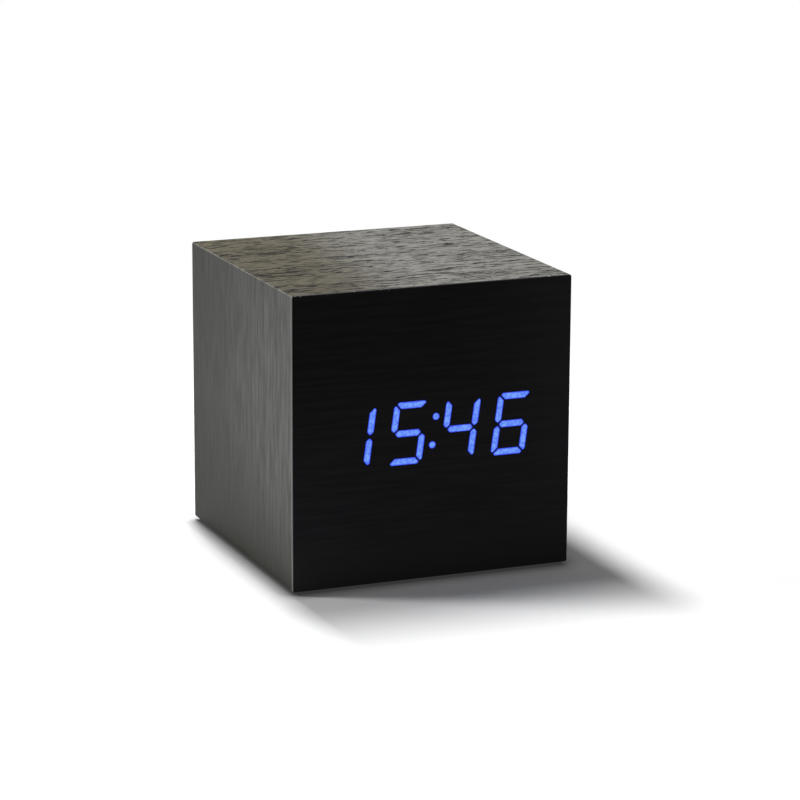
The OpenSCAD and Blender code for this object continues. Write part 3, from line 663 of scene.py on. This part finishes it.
def glow_plate(name, outlines):
    """One thin plate per outline, closed, with a core mask on its points."""
    verts = []
    faces = []
    mask = []
    for outline in outlines:
        rim = drawn_in(outline, -glow_grow)
        if len(outline) < dot_points:
            rim = rounded(rim, glow_radius)
        core = drawn_in(rim, border_width)
        count = len(rim)
        back = len(verts)
        front = back + count
        middle = front + count
        for ring, depth, value in ((rim, glow_sunk, 0.0), (rim, -glow_proud, 0.0), (core, -glow_proud, 1.0)):
            verts += [(p.x, front_y + depth, p.y) for p in ring]
            mask += [value] * count
        faces += join_rings(back, front, count) + join_rings(front, middle, count)
        faces.append(tuple(middle + i for i in range(count)))
        faces.append(tuple(back + i for i in reversed(range(count))))
    mesh = bpy.data.meshes.new(name)
    mesh.from_pydata(verts, [], faces)
    mask_layer = mesh.attributes.new("core", "FLOAT", "POINT")
    mask_layer.data.foreach_set("value", mask)
    plate = bpy.data.objects.new(name, mesh)
    scene.collection.objects.link(plate)
    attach(plate, "case")
    return plate


glow = glow_plate("figures_through_veneer", set_in_window(segments))
print("glow plate:", len(glow.data.polygons), "faces")

# %% Blue light
border_blue = paint(0.020, 0.034, 0.86)
core_blue = paint(0.215, 0.43, 1.0)
dark_wood = paint(0.006, 0.006, 0.008)


def glow_finish():
    """Blue light: deep blue at the border, paler and cloudy in the core, with level streaks from the wood."""
    material, tree, shader = new_material("blue_light_through_wood")
    grain = use_group(tree, grain_group, Stretch=(0.25, 1.0, 1.0), Seed=5.0)
    core = add(tree, "ShaderNodeAttribute", attribute_name="core").outputs["Fac"]
    cloud = noise(tree, place_in_mm(tree), scale=1.7, detail=2.0, seed=3.0)
    cloud = spread(tree, cloud, 0.38, 0.62, to_low=0.55)
    streak = step(tree, "MULTIPLY", over_noise(tree, grain["Fibre"], 0.7, 1.0), cloud)
    light = mix_colour(tree, step(tree, "MULTIPLY", core, streak), border_blue, core_blue)
    fill(tree, shader, Base_Color=dark_wood, Roughness=0.7, Specular_IOR_Level=0.06,
         Emission_Color=light, Emission_Strength=1.0)
    return material


glow.data.materials.append(glow_finish())
print("light:", glow.data.materials[0].name)

# %% [markdown]
# The plastics differ in colour and gloss, but all of them come out of a mould whose walls were roughened
# by sparks: a fine even grain, and a slow mottle where the mould is worn. Metals have two marks of their
# own, the lines of rolling or turning and a cloudy film. Both are groups with a seed, so that no two
# finishes show the same marks.

# %% Groups for plastic and metal
mottle_scale = 0.12
line_scale = 6.0
film_scale = 0.35

skin_group, skin_in, skin_out = new_group(
    "moulded_skin", [("Scale", number_socket), ("Seed", number_socket)], ["Speck", "Mottle"])
skin_place = place_in_mm(skin_group)
skin_seed = skin_in.outputs["Seed"]
mottle_seed = step(skin_group, "ADD", skin_seed, 4.0)
speck = noise(skin_group, skin_place, skin_in.outputs["Scale"], detail=2.0, seed=skin_seed)
mottle = noise(skin_group, skin_place, mottle_scale, detail=3.0, seed=mottle_seed)
put_out(skin_group, skin_out, Speck=speck, Mottle=mottle)

metal_group, metal_in, metal_out = new_group(
    "metal_marks", [("Stretch", vector_socket), ("Seed", number_socket)], ["Lines", "Film"])
metal_place = place_in_mm(metal_group)
metal_seed = metal_in.outputs["Seed"]
drawn = vector_step(metal_group, "MULTIPLY", metal_place, metal_in.outputs["Stretch"])
film_seed = step(metal_group, "ADD", metal_seed, 2.0)
lines = noise(metal_group, drawn, line_scale, detail=3.0, seed=metal_seed)
film = noise(metal_group, metal_place, film_scale, detail=3.0, seed=film_seed)
put_out(metal_group, metal_out, Lines=lines, Film=film)
print("groups:", [g.name for g in bpy.data.node_groups])

# %% Recipes for plastic and metal
line_depth = 0.004 * mm


def plastic(name, dark, light, gloss, seed, speck_scale=4.0, depth=0.01):
    """Plastic or rubber in two close tones; gloss is its least and most roughness, depth is in mm."""
    material, tree, shader = new_material(name)
    skin = use_group(tree, skin_group, Scale=speck_scale, Seed=seed)
    colour = mix_colour(tree, over_noise(tree, skin["Mottle"]), paint(*dark), paint(*light))
    rough = over_noise(tree, skin["Speck"], *gloss)
    fill(tree, shader, Base_Color=colour, Roughness=rough, Normal=relief(tree, skin["Speck"], depth * mm))
    return material


def metal(name, dark, light, gloss, stretch, seed):
    """Bare or plated metal with drawn lines and a thin cloudy film."""
    material, tree, shader = new_material(name)
    marks = use_group(tree, metal_group, Stretch=stretch, Seed=seed)
    colour = mix_colour(tree, spread(tree, marks["Film"], 0.35, 0.65), paint(*dark), paint(*light))
    rough = over_noise(tree, marks["Lines"], *gloss)
    fill(tree, shader, Base_Color=colour, Metallic=1.0, Roughness=rough,
         Normal=relief(tree, marks["Lines"], line_depth))
    return material


print("recipes ready")

# %% Plastics
finishes.update({
    "foot_rubber": plastic("dark_foot_rubber", (0.018, 0.018, 0.018), (0.03, 0.03, 0.03),
                           gloss=(0.75, 0.9), speck_scale=5.0, depth=0.02, seed=1.0),
    "housing_white": plastic("white_light_housing", (0.68, 0.68, 0.66), (0.76, 0.76, 0.74),
                             gloss=(0.4, 0.55), seed=2.0),
    "unlit_resin": plastic("milky_unlit_resin", (0.50, 0.53, 0.58), (0.60, 0.63, 0.68),
                           gloss=(0.2, 0.35), speck_scale=2.0, seed=3.0),
    "led_chip": plastic("light_chip_gel", (0.68, 0.58, 0.16), (0.80, 0.70, 0.26),
                        gloss=(0.15, 0.3), speck_scale=5.0, seed=4.0),
    "socket_ivory": plastic("ivory_socket", (0.62, 0.57, 0.45), (0.72, 0.67, 0.55),
                            gloss=(0.4, 0.55), seed=5.0),
    "cover_black": plastic("black_moulded_cover", (0.012, 0.012, 0.013), (0.018, 0.018, 0.019),
                           gloss=(0.42, 0.62), speck_scale=3.4, depth=0.03, seed=6.0),
    "chip_black": plastic("black_chip_resin", (0.01, 0.01, 0.01), (0.016, 0.016, 0.017),
                          gloss=(0.5, 0.7), speck_scale=6.0, seed=7.0),
    "switch_black": plastic("black_switch_body", (0.02, 0.02, 0.021), (0.03, 0.03, 0.032),
                            gloss=(0.4, 0.55), seed=8.0),
    "plunger_ivory": plastic("ivory_plunger", (0.62, 0.58, 0.48), (0.72, 0.68, 0.58),
                             gloss=(0.35, 0.5), seed=9.0),
    "key_grey": plastic("dark_grey_key", (0.035, 0.036, 0.038), (0.048, 0.049, 0.052),
                        gloss=(0.38, 0.52), speck_scale=4.5, depth=0.015, seed=10.0),
    "inlet_black": plastic("black_inlet", (0.008, 0.008, 0.009), (0.013, 0.013, 0.014),
                           gloss=(0.3, 0.45), seed=11.0),
})
print("finishes with the plastics:", len(finishes))

# %% Metals
finishes.update({
    "screw_steel": metal("zinc_plated_screw", (0.50, 0.50, 0.49), (0.62, 0.62, 0.61),
                         gloss=(0.22, 0.4), stretch=(1.0, 0.3, 1.0), seed=1.0),
    "spring_steel": metal("bright_spring_wire", (0.60, 0.60, 0.61), (0.72, 0.72, 0.73),
                          gloss=(0.15, 0.3), stretch=(1.0, 1.0, 1.0), seed=2.0),
    "contact_nickel": metal("nickel_contact", (0.56, 0.54, 0.50), (0.70, 0.68, 0.64),
                            gloss=(0.18, 0.36), stretch=(1.0, 1.0, 0.12), seed=3.0),
    "metal_can": metal("drawn_crystal_can", (0.62, 0.62, 0.62), (0.74, 0.74, 0.74),
                       gloss=(0.16, 0.3), stretch=(1.0, 1.0, 0.2), seed=4.0),
    "pin_brass": metal("brass_pin", (0.62, 0.44, 0.16), (0.74, 0.55, 0.24),
                       gloss=(0.2, 0.36), stretch=(1.0, 0.2, 1.0), seed=5.0),
    "cell_jacket": metal("bare_cell_steel", (0.55, 0.55, 0.55), (0.66, 0.66, 0.66),
                         gloss=(0.2, 0.35), stretch=(1.0, 0.3, 0.3), seed=6.0),
})
print("finishes with the metals:", len(finishes))

# %% [markdown]
# The boards under the veneer are pressed wood fibre. Inside the case they stay raw and brown; their rear
# edges, which show round the cover, were brushed black with the same stain as the veneer. The glue blocks
# are offcuts of softwood and take the grain group, with the grain along their length.

# %% Fibre board and glue blocks
rear_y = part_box("wrap_veneer")[1].y / mm
# how deep the stain reaches from the rear edge, and how deep it covers fully, in mm
stain_reach = 1.3
stain_full = 0.4
raw_dark = paint(0.17, 0.10, 0.052)
raw_light = paint(0.27, 0.17, 0.095)
brushed_black = paint(0.014, 0.013, 0.012)
pine_yellow = paint(0.36, 0.22, 0.10)
pine_pale = paint(0.52, 0.35, 0.17)
wood_relief = 0.03 * mm


def fibre_board():
    """Raw pressed fibre with a stained rear edge."""
    material, tree, shader = new_material("pressed_fibre_board")
    skin = use_group(tree, skin_group, Scale=2.6, Seed=12.0)
    raw = mix_colour(tree, spread(tree, skin["Speck"], 0.35, 0.65), raw_dark, raw_light)
    depth = parts_of(tree, place_in_mm(tree))["Y"]
    uneven = step(tree, "MULTIPLY_ADD", skin["Mottle"], 0.9, depth)
    stained = spread(tree, uneven, rear_y - stain_reach, rear_y - stain_full)
    colour = mix_colour(tree, stained, raw, brushed_black)
    fill(tree, shader, Base_Color=colour, Roughness=over_noise(tree, skin["Speck"], 0.7, 0.9),
         Normal=relief(tree, skin["Speck"], wood_relief))
    return material


def pine_block():
    """Softwood with year lines along the block."""
    material, tree, shader = new_material("pine_glue_block")
    fibre = use_group(tree, grain_group, Stretch=(1.0, 0.08, 1.0), Seed=9.0)["Fibre"]
    colour = mix_colour(tree, over_noise(tree, fibre), pine_yellow, pine_pale)
    fill(tree, shader, Base_Color=colour, Roughness=over_noise(tree, fibre, 0.75, 0.6),
         Normal=relief(tree, fibre, wood_relief))
    return material


finishes["fibre_board"] = fibre_board()
finishes["pine_block"] = pine_block()
print("boards finished, rear edge at", round(rear_y, 2), "mm")

# %% [markdown]
# The circuit boards have a green lacquer over copper tracks, which show as paler green lanes: a brick
# pattern gives lanes that stop and turn. The ribbon is a row of sheathed wires, so it has level ribs.
# Both patterns could be modelled, but they are shallow and inside the case, so relief will do. The
# grooves of the ribbon are darkened by painted shade.

# %% Circuit boards and ribbon
board_green = paint(0.012, 0.085, 0.034)
lane_green = paint(0.05, 0.20, 0.075)
lane_relief = 0.03 * mm
lane_pattern = {
    "Scale": 0.35, "Mortar Size": 0.07, "Mortar Smooth": 0.2, "Brick Width": 2.6, "Row Height": 0.7}
wire_pitch = 1.27
groove_painted_shade = paint(0.12, 0.125, 0.135)
sheath_grey = paint(0.28, 0.29, 0.31)
rib_relief = 0.2 * mm


def circuit_board():
    """Green lacquer with copper lanes under it."""
    material, tree, shader = new_material("green_circuit_board")
    skin = use_group(tree, skin_group, Scale=5.0, Seed=13.0)
    tipped = {"Vector": place_in_mm(tree), "Rotation": (math.pi / 2, 0, 0)}
    on_board = add(tree, "ShaderNodeMapping", tipped).outputs[0]
    lanes = add(tree, "ShaderNodeTexBrick", {"Vector": on_board, **lane_pattern})
    copper = step(tree, "MULTIPLY", lanes.outputs["Fac"], spread(tree, skin["Mottle"], 0.35, 0.5))
    colour = mix_colour(tree, copper, board_green, lane_green)
    fill(tree, shader, Base_Color=colour, Roughness=over_noise(tree, skin["Speck"], 0.25, 0.4),
         Normal=relief(tree, copper, lane_relief))
    return material


def ribbon_sheath():
    """Grey ribs, one for each wire, with painted shade in the grooves between them."""
    material, tree, shader = new_material("grey_ribbon_sheath")
    skin = use_group(tree, skin_group, Scale=4.0, Seed=14.0)
    across = step(tree, "MULTIPLY", parts_of(tree, place_in_mm(tree))["X"], math.pi / wire_pitch)
    ribs = step(tree, "ABSOLUTE", step(tree, "SINE", across))
    # the darker grooves are painted shade
    colour = mix_colour(tree, spread(tree, ribs, 0.0, 0.5), groove_painted_shade, sheath_grey)
    fill(tree, shader, Base_Color=colour, Roughness=over_noise(tree, skin["Speck"], 0.4, 0.55),
         Normal=relief(tree, ribs, rib_relief))
    return material


finishes["circuit_board"] = circuit_board()
finishes["ribbon_grey"] = ribbon_sheath()
print("circuit boards and ribbon finished, wires", wire_pitch, "mm apart")

# %% [markdown]
# The lit segments behind the veneer glow in the same blue as the figures. The capacitor is an aluminium
# can in a dark sleeve with one pale stripe: its place on the board tells where the stripe and the bare
# top are, so no seam has to be cut into the solid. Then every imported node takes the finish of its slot.

# %% Lit resin and capacitor
resin_deep = paint(0.05, 0.11, 0.8)
resin_pale = paint(0.125, 0.285, 1.0)
resin_body = paint(0.3, 0.35, 0.6)
sleeve_blue = paint(0.012, 0.022, 0.075)
stripe_pale = paint(0.42, 0.45, 0.52)
can_top = paint(0.62, 0.62, 0.62)
# where the stripe begins above the can's middle, and where the sleeve's edge lies behind its top, in mm
stripe_from, stripe_full = 2.2, 2.4
sleeve_edge, sleeve_full = 0.05, 0.25


def lit_resin():
    """Cast resin that glows blue, a little cloudy."""
    material, tree, shader = new_material("glowing_blue_resin")
    skin = use_group(tree, skin_group, Scale=1.5, Seed=15.0)
    light = mix_colour(tree, over_noise(tree, skin["Speck"]), resin_deep, resin_pale)
    fill(tree, shader, Base_Color=resin_body, Roughness=0.3, Emission_Color=light, Emission_Strength=1.0)
    return material


def capacitor_sleeve():
    """Dark blue sleeve with one pale stripe down its side, and a bare metal top."""
    material, tree, shader = new_material("capacitor_sleeve")
    low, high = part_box("filter_capacitor")
    middle_z = (low + high).z / 2 / mm
    top_y = low.y / mm
    place = parts_of(tree, place_in_mm(tree))
    skin = use_group(tree, skin_group, Scale=4.0, Seed=16.0)
    stripe = spread(tree, place["Z"], middle_z + stripe_from, middle_z + stripe_full)
    sleeve = mix_colour(tree, stripe, sleeve_blue, stripe_pale)
    bare = spread(tree, place["Y"], top_y + sleeve_edge, top_y + sleeve_full, to_low=1.0, to_high=0.0)
    colour = mix_colour(tree, bare, sleeve, can_top)
    rough = over_noise(tree, skin["Speck"], 0.28, 0.42)
    fill(tree, shader, Base_Color=colour, Metallic=bare, Roughness=rough)
    return material


finishes["lit_resin"] = lit_resin()
finishes["capacitor_sleeve"] = capacitor_sleeve()
print("finishes:", len(finishes))

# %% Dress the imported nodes
for part in frame["record"]["subparts"]:
    slots = nodes[part["node"]].data.materials
    slots.clear()
    slots.append(finishes[part["material_slot"]])

# %% [markdown]
# The cells are steel cans in a shrunk plastic jacket. The jacket is a lathed sleeve a hair wider than the
# can, drawn over its rims, with a plain red ring that marks the end with the nub. A painted can would show
# no rim, so it is a piece of its own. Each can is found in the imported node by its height, and its nub by
# the end where only a narrow pin is left.

# %% Helpers for new pieces
def new_piece(name, verts, faces, body, material, smooth=True):
    """Makes a mesh piece that rides on a body."""
    mesh = bpy.data.meshes.new(name)
    mesh.from_pydata(verts, [], faces)
    mesh.validate()
    work = bmesh.new()
    work.from_mesh(mesh)
    bmesh.ops.recalc_face_normals(work, faces=work.faces)
    work.to_mesh(mesh)
    work.free()
    mesh.polygons.foreach_set("use_smooth", [smooth] * len(mesh.polygons))
    mesh.materials.append(material)
    piece = bpy.data.objects.new(name, mesh)
    scene.collection.objects.link(piece)
    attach(piece, body)
    return piece


def lying_solids(node, count):
    """Equal solids of a node that lie along X, from below; each is (start, end, centre, points)."""
    points = [v.co.copy() for v in nodes[node].data.vertices]
    low = min(p.z for p in points)
    tall = (max(p.z for p in points) - low) / count
    layers = [[] for _ in range(count)]
    for point in points:
        layers[min(int((point.z - low) / tall), count - 1)].append(point)
    solids = []
    for layer in layers:
        along = [p.x for p in layer]
        upright = [p.z for p in layer]
        middle_y = sum(p.y for p in layer) / len(layer)
        centre = Vector((0, middle_y, (min(upright) + max(upright)) / 2))
        solids.append((min(along), max(along), centre, layer))
    return solids


def angles(count):
    """Angles of points that are evenly spaced on a circle."""
    return [2 * math.pi * k / count for k in range(count)]


def lathe_x(profile, centre, around=48):
    """Turns a closed profile of (x, radius) about a line along X; returns verts and faces."""
    verts = []
    faces = []
    for i, (x, radius) in enumerate(profile):
        ring = [(radius * math.cos(a), radius * math.sin(a)) for a in angles(around)]
        verts += [(x, centre.y + y, centre.z + z) for y, z in ring]
        faces += join_rings(i * around, (i + 1) % len(profile) * around, around)
    return verts, faces


print("piece helpers ready")

# %% Shape of a jacket
jacket_proud = 0.06 * mm
jacket_wall = 0.1 * mm
jacket_lip = 0.9 * mm
# the shoulder of the jacket: its size, and a point on its bend, inwards from the rim and from the outside
shoulder = 0.5 * mm
bend_in = 0.15 * mm
bend_down = 0.12 * mm


def jacket_profile(low_x, high_x, can_radius):
    """Closed profile of a thin jacket that is drawn over both rims of a can."""
    outer = can_radius + jacket_proud
    lip = can_radius - jacket_lip
    lining_x = jacket_wall - jacket_proud
    outside = [(-jacket_proud, lip), (-jacket_proud, outer - shoulder)]
    outside += [(bend_in, outer - bend_down), (shoulder, outer)]
    lining = [(shoulder, outer - jacket_wall), (lining_x, outer - shoulder), (lining_x, lip)]
    profile = [(low_x + x, radius) for x, radius in outside]
    profile += [(high_x - x, radius) for x, radius in reversed(outside)]
    profile += [(high_x - x, radius) for x, radius in reversed(lining)]
    profile += [(low_x + x, radius) for x, radius in lining]
    return profile


print("jacket wall", round(jacket_wall / mm, 2), "mm")

# %% Finish of a jacket
jacket_pale = paint(0.50, 0.51, 0.52)
jacket_light = paint(0.60, 0.61, 0.62)
ring_red = paint(0.42, 0.03, 0.025)


def jacket_finish(ring_start, ring_end):
    """Pale satin jacket with a red ring between two places along X, in mm."""
    material, tree, shader = new_material("pale_cell_jacket")
    skin = use_group(tree, skin_group, Scale=3.0, Seed=17.0)
    along = parts_of(tree, place_in_mm(tree))["X"]
    after_start = step(tree, "GREATER_THAN", along, ring_start)
    in_ring = step(tree, "MULTIPLY", after_start, step(tree, "LESS_THAN", along, ring_end))
    pale = mix_colour(tree, over_noise(tree, skin["Mottle"]), jacket_pale, jacket_light)
    colour = mix_colour(tree, in_ring, pale, ring_red)
    fill(tree, shader, Base_Color=colour, Roughness=over_noise(tree, skin["Speck"], 0.22, 0.34))
    return material


print("jacket finish ready")

# %% Jackets on the cells
cell_count = 3
nub_length = 1.0 * mm
# a nub is narrower than this share of its can
nub_share = 0.6
end_within = 0.01 * mm
# the red ring, in mm
ring_width = 4.0
ring_off = 1.0

for number, (start, end, centre, points) in enumerate(lying_solids("battery_cells", cell_count), 1):
    can_radius = max(math.hypot(p.y - centre.y, p.z - centre.z) for p in points)
    tip = [p for p in points if p.x > end - end_within]
    tip_radius = max(math.hypot(p.y - centre.y, p.z - centre.z) for p in tip)
    nub_right = tip_radius < can_radius * nub_share
    if nub_right:
        low_x, high_x = start, end - nub_length
        ring_start = high_x / mm - ring_off - ring_width
    else:
        low_x, high_x = start + nub_length, end
        ring_start = low_x / mm + ring_off
    verts, faces = lathe_x(jacket_profile(low_x, high_x, can_radius), centre)
    jacket = jacket_finish(ring_start, ring_start + ring_width)
    new_piece(f"cell_jacket_{number}", verts, faces, "case", jacket)
    print("cell", number, "nub to the right:", nub_right, "diameter", round(2 * can_radius / mm, 2))

# %% [markdown]
# A battery spring is wire wound into a cone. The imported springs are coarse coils; here each is drawn
# again as a smooth tube on the same cone, wide at the contact plate and narrow at the cell. A curve with
# a bevel would do too; rings of points that are joined to a mesh need no conversion.

# %% Contact springs
coil_turns = 4
wire_radius = 0.25 * mm
coil_wide = 3.6 * mm
coil_narrow = 2.0 * mm
# the end of a packed coil, and the reach that tells its wide end from its narrow one
coil_end = 0.6 * mm
wide_reach = 3 * mm


def coil_tube(start_x, end_x, centre, rings=32, sides=10):
    """A conical coil from start_x (wide) to end_x (narrow) as one closed tube."""
    total = coil_turns * rings
    along = Vector((1, 0, 0))
    verts = []
    faces = []
    for i in range(total + 1):
        share = i / total
        turn = 2 * math.pi * coil_turns * share
        out = Vector((0, math.cos(turn), math.sin(turn)))
        radius = coil_wide + (coil_narrow - coil_wide) * share
        point = centre + along * (start_x + (end_x - start_x) * share) + out * radius
        verts += [point + (out * math.cos(a) + along * math.sin(a)) * wire_radius for a in angles(sides)]
    for i in range(total):
        faces += join_rings(i * sides, (i + 1) * sides, sides)
    faces.append(tuple(range(sides)))
    faces.append(tuple(total * sides + k for k in range(sides)))
    return verts, faces


wire = finishes["spring_steel"]
springs = []
for number, (start, end, centre, points) in enumerate(lying_solids("battery_springs", cell_count), 1):
    left_end = [p for p in points if p.x < start + coil_end]
    wide_left = max(abs(p.z - centre.z) for p in left_end) > wide_reach
    wide_x, narrow_x = start + wire_radius, end - wire_radius
    if not wide_left:
        wide_x, narrow_x = narrow_x, wide_x
    verts, faces = coil_tube(wide_x, narrow_x, centre)
    springs.append(new_piece(f"contact_spring_{number}", verts, faces, "case", wire))
    print("spring", number, "wide end left:", wide_left, "length", round((end - start) / mm, 2))
for spring in springs:
    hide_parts("battery_springs")

# %% [markdown]
# The keys carry small raised marks instead of words: a ring for setting, and triangles for up and down.
# They are a tenth of a millimetre or two proud, as moulded marks are, with paint rolled on top, and ride
# with the key they are on. Flat paint would do from afar, but a raised mark also catches the light.

# %% Shapes of the marks
mark_proud = 0.16 * mm
mark_deep = 0.3 * mm
arrow_width = 2.4 * mm
arrow_height = 2.0 * mm
arrow_blunt = 0.15 * mm
mark_paint = plastic("pale_mark_paint", (0.42, 0.42, 0.42), (0.52, 0.52, 0.52),
                     gloss=(0.45, 0.6), speck_scale=5.0, seed=18.0)


def raised_mark(name, outlines, face_y, body):
    """A flat mark on a face that looks to the rear: an outline of (x, z), and perhaps a like hole."""
    count = len(outlines[0])
    verts = []
    faces = []
    for number, outline in enumerate(outlines):
        foot = 2 * count * number
        for depth in (-mark_deep, mark_proud):
            verts += [(x, face_y + depth, z) for x, z in outline]
        faces += join_rings(foot, foot + count, count)
    for layer in (0, count):
        if len(outlines) > 1:
            faces += join_rings(layer, layer + 2 * count, count)
        else:
            faces.append(tuple(layer + i for i in range(count)))
    return new_piece(name, verts, faces, body, mark_paint, smooth=False)


def circle(middle, radius, points=40):
    """Points of a circle on a face that looks to the rear."""
    return [(middle.x + radius * math.cos(a), middle.z + radius * math.sin(a)) for a in angles(points)]


def triangle(middle, way):
    """A triangle that points up (way 1) or down (way -1), with its corners blunted."""
    side = arrow_width / 2
    tip = way * arrow_height / 2
    tips = [Vector((-side, -tip)), Vector((side, -tip)), Vector((0, tip))]
    return [(middle.x + p.x, middle.z + p.y) for p in rounded(tips, arrow_blunt, 3)]


print("marks stand", round(mark_proud / mm, 2), "mm proud")

# %% Marks on the keys
dish_depth = 0.2 * mm
ring_outside = 1.2 * mm
ring_inside = 0.8 * mm


def key_face(node):
    """Middle of a key's dished face, on its deepest point."""
    low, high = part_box(node)
    return Vector(((low.x + high.x) / 2, high.y - dish_depth, (low.z + high.z) / 2))


set_face = key_face("set_button")
set_ring = [circle(set_face, ring_outside), circle(set_face, ring_inside)]
raised_mark("set_mark", set_ring, set_face.y, "set_key")
for node, body, way in (("up_button", "up_key", 1), ("down_button", "down_key", -1)):
    face = key_face(node)
    raised_mark(body + "_mark", [triangle(face, way)], face.y, body)
print("key marks made, the ring at mm", in_mm(set_face))
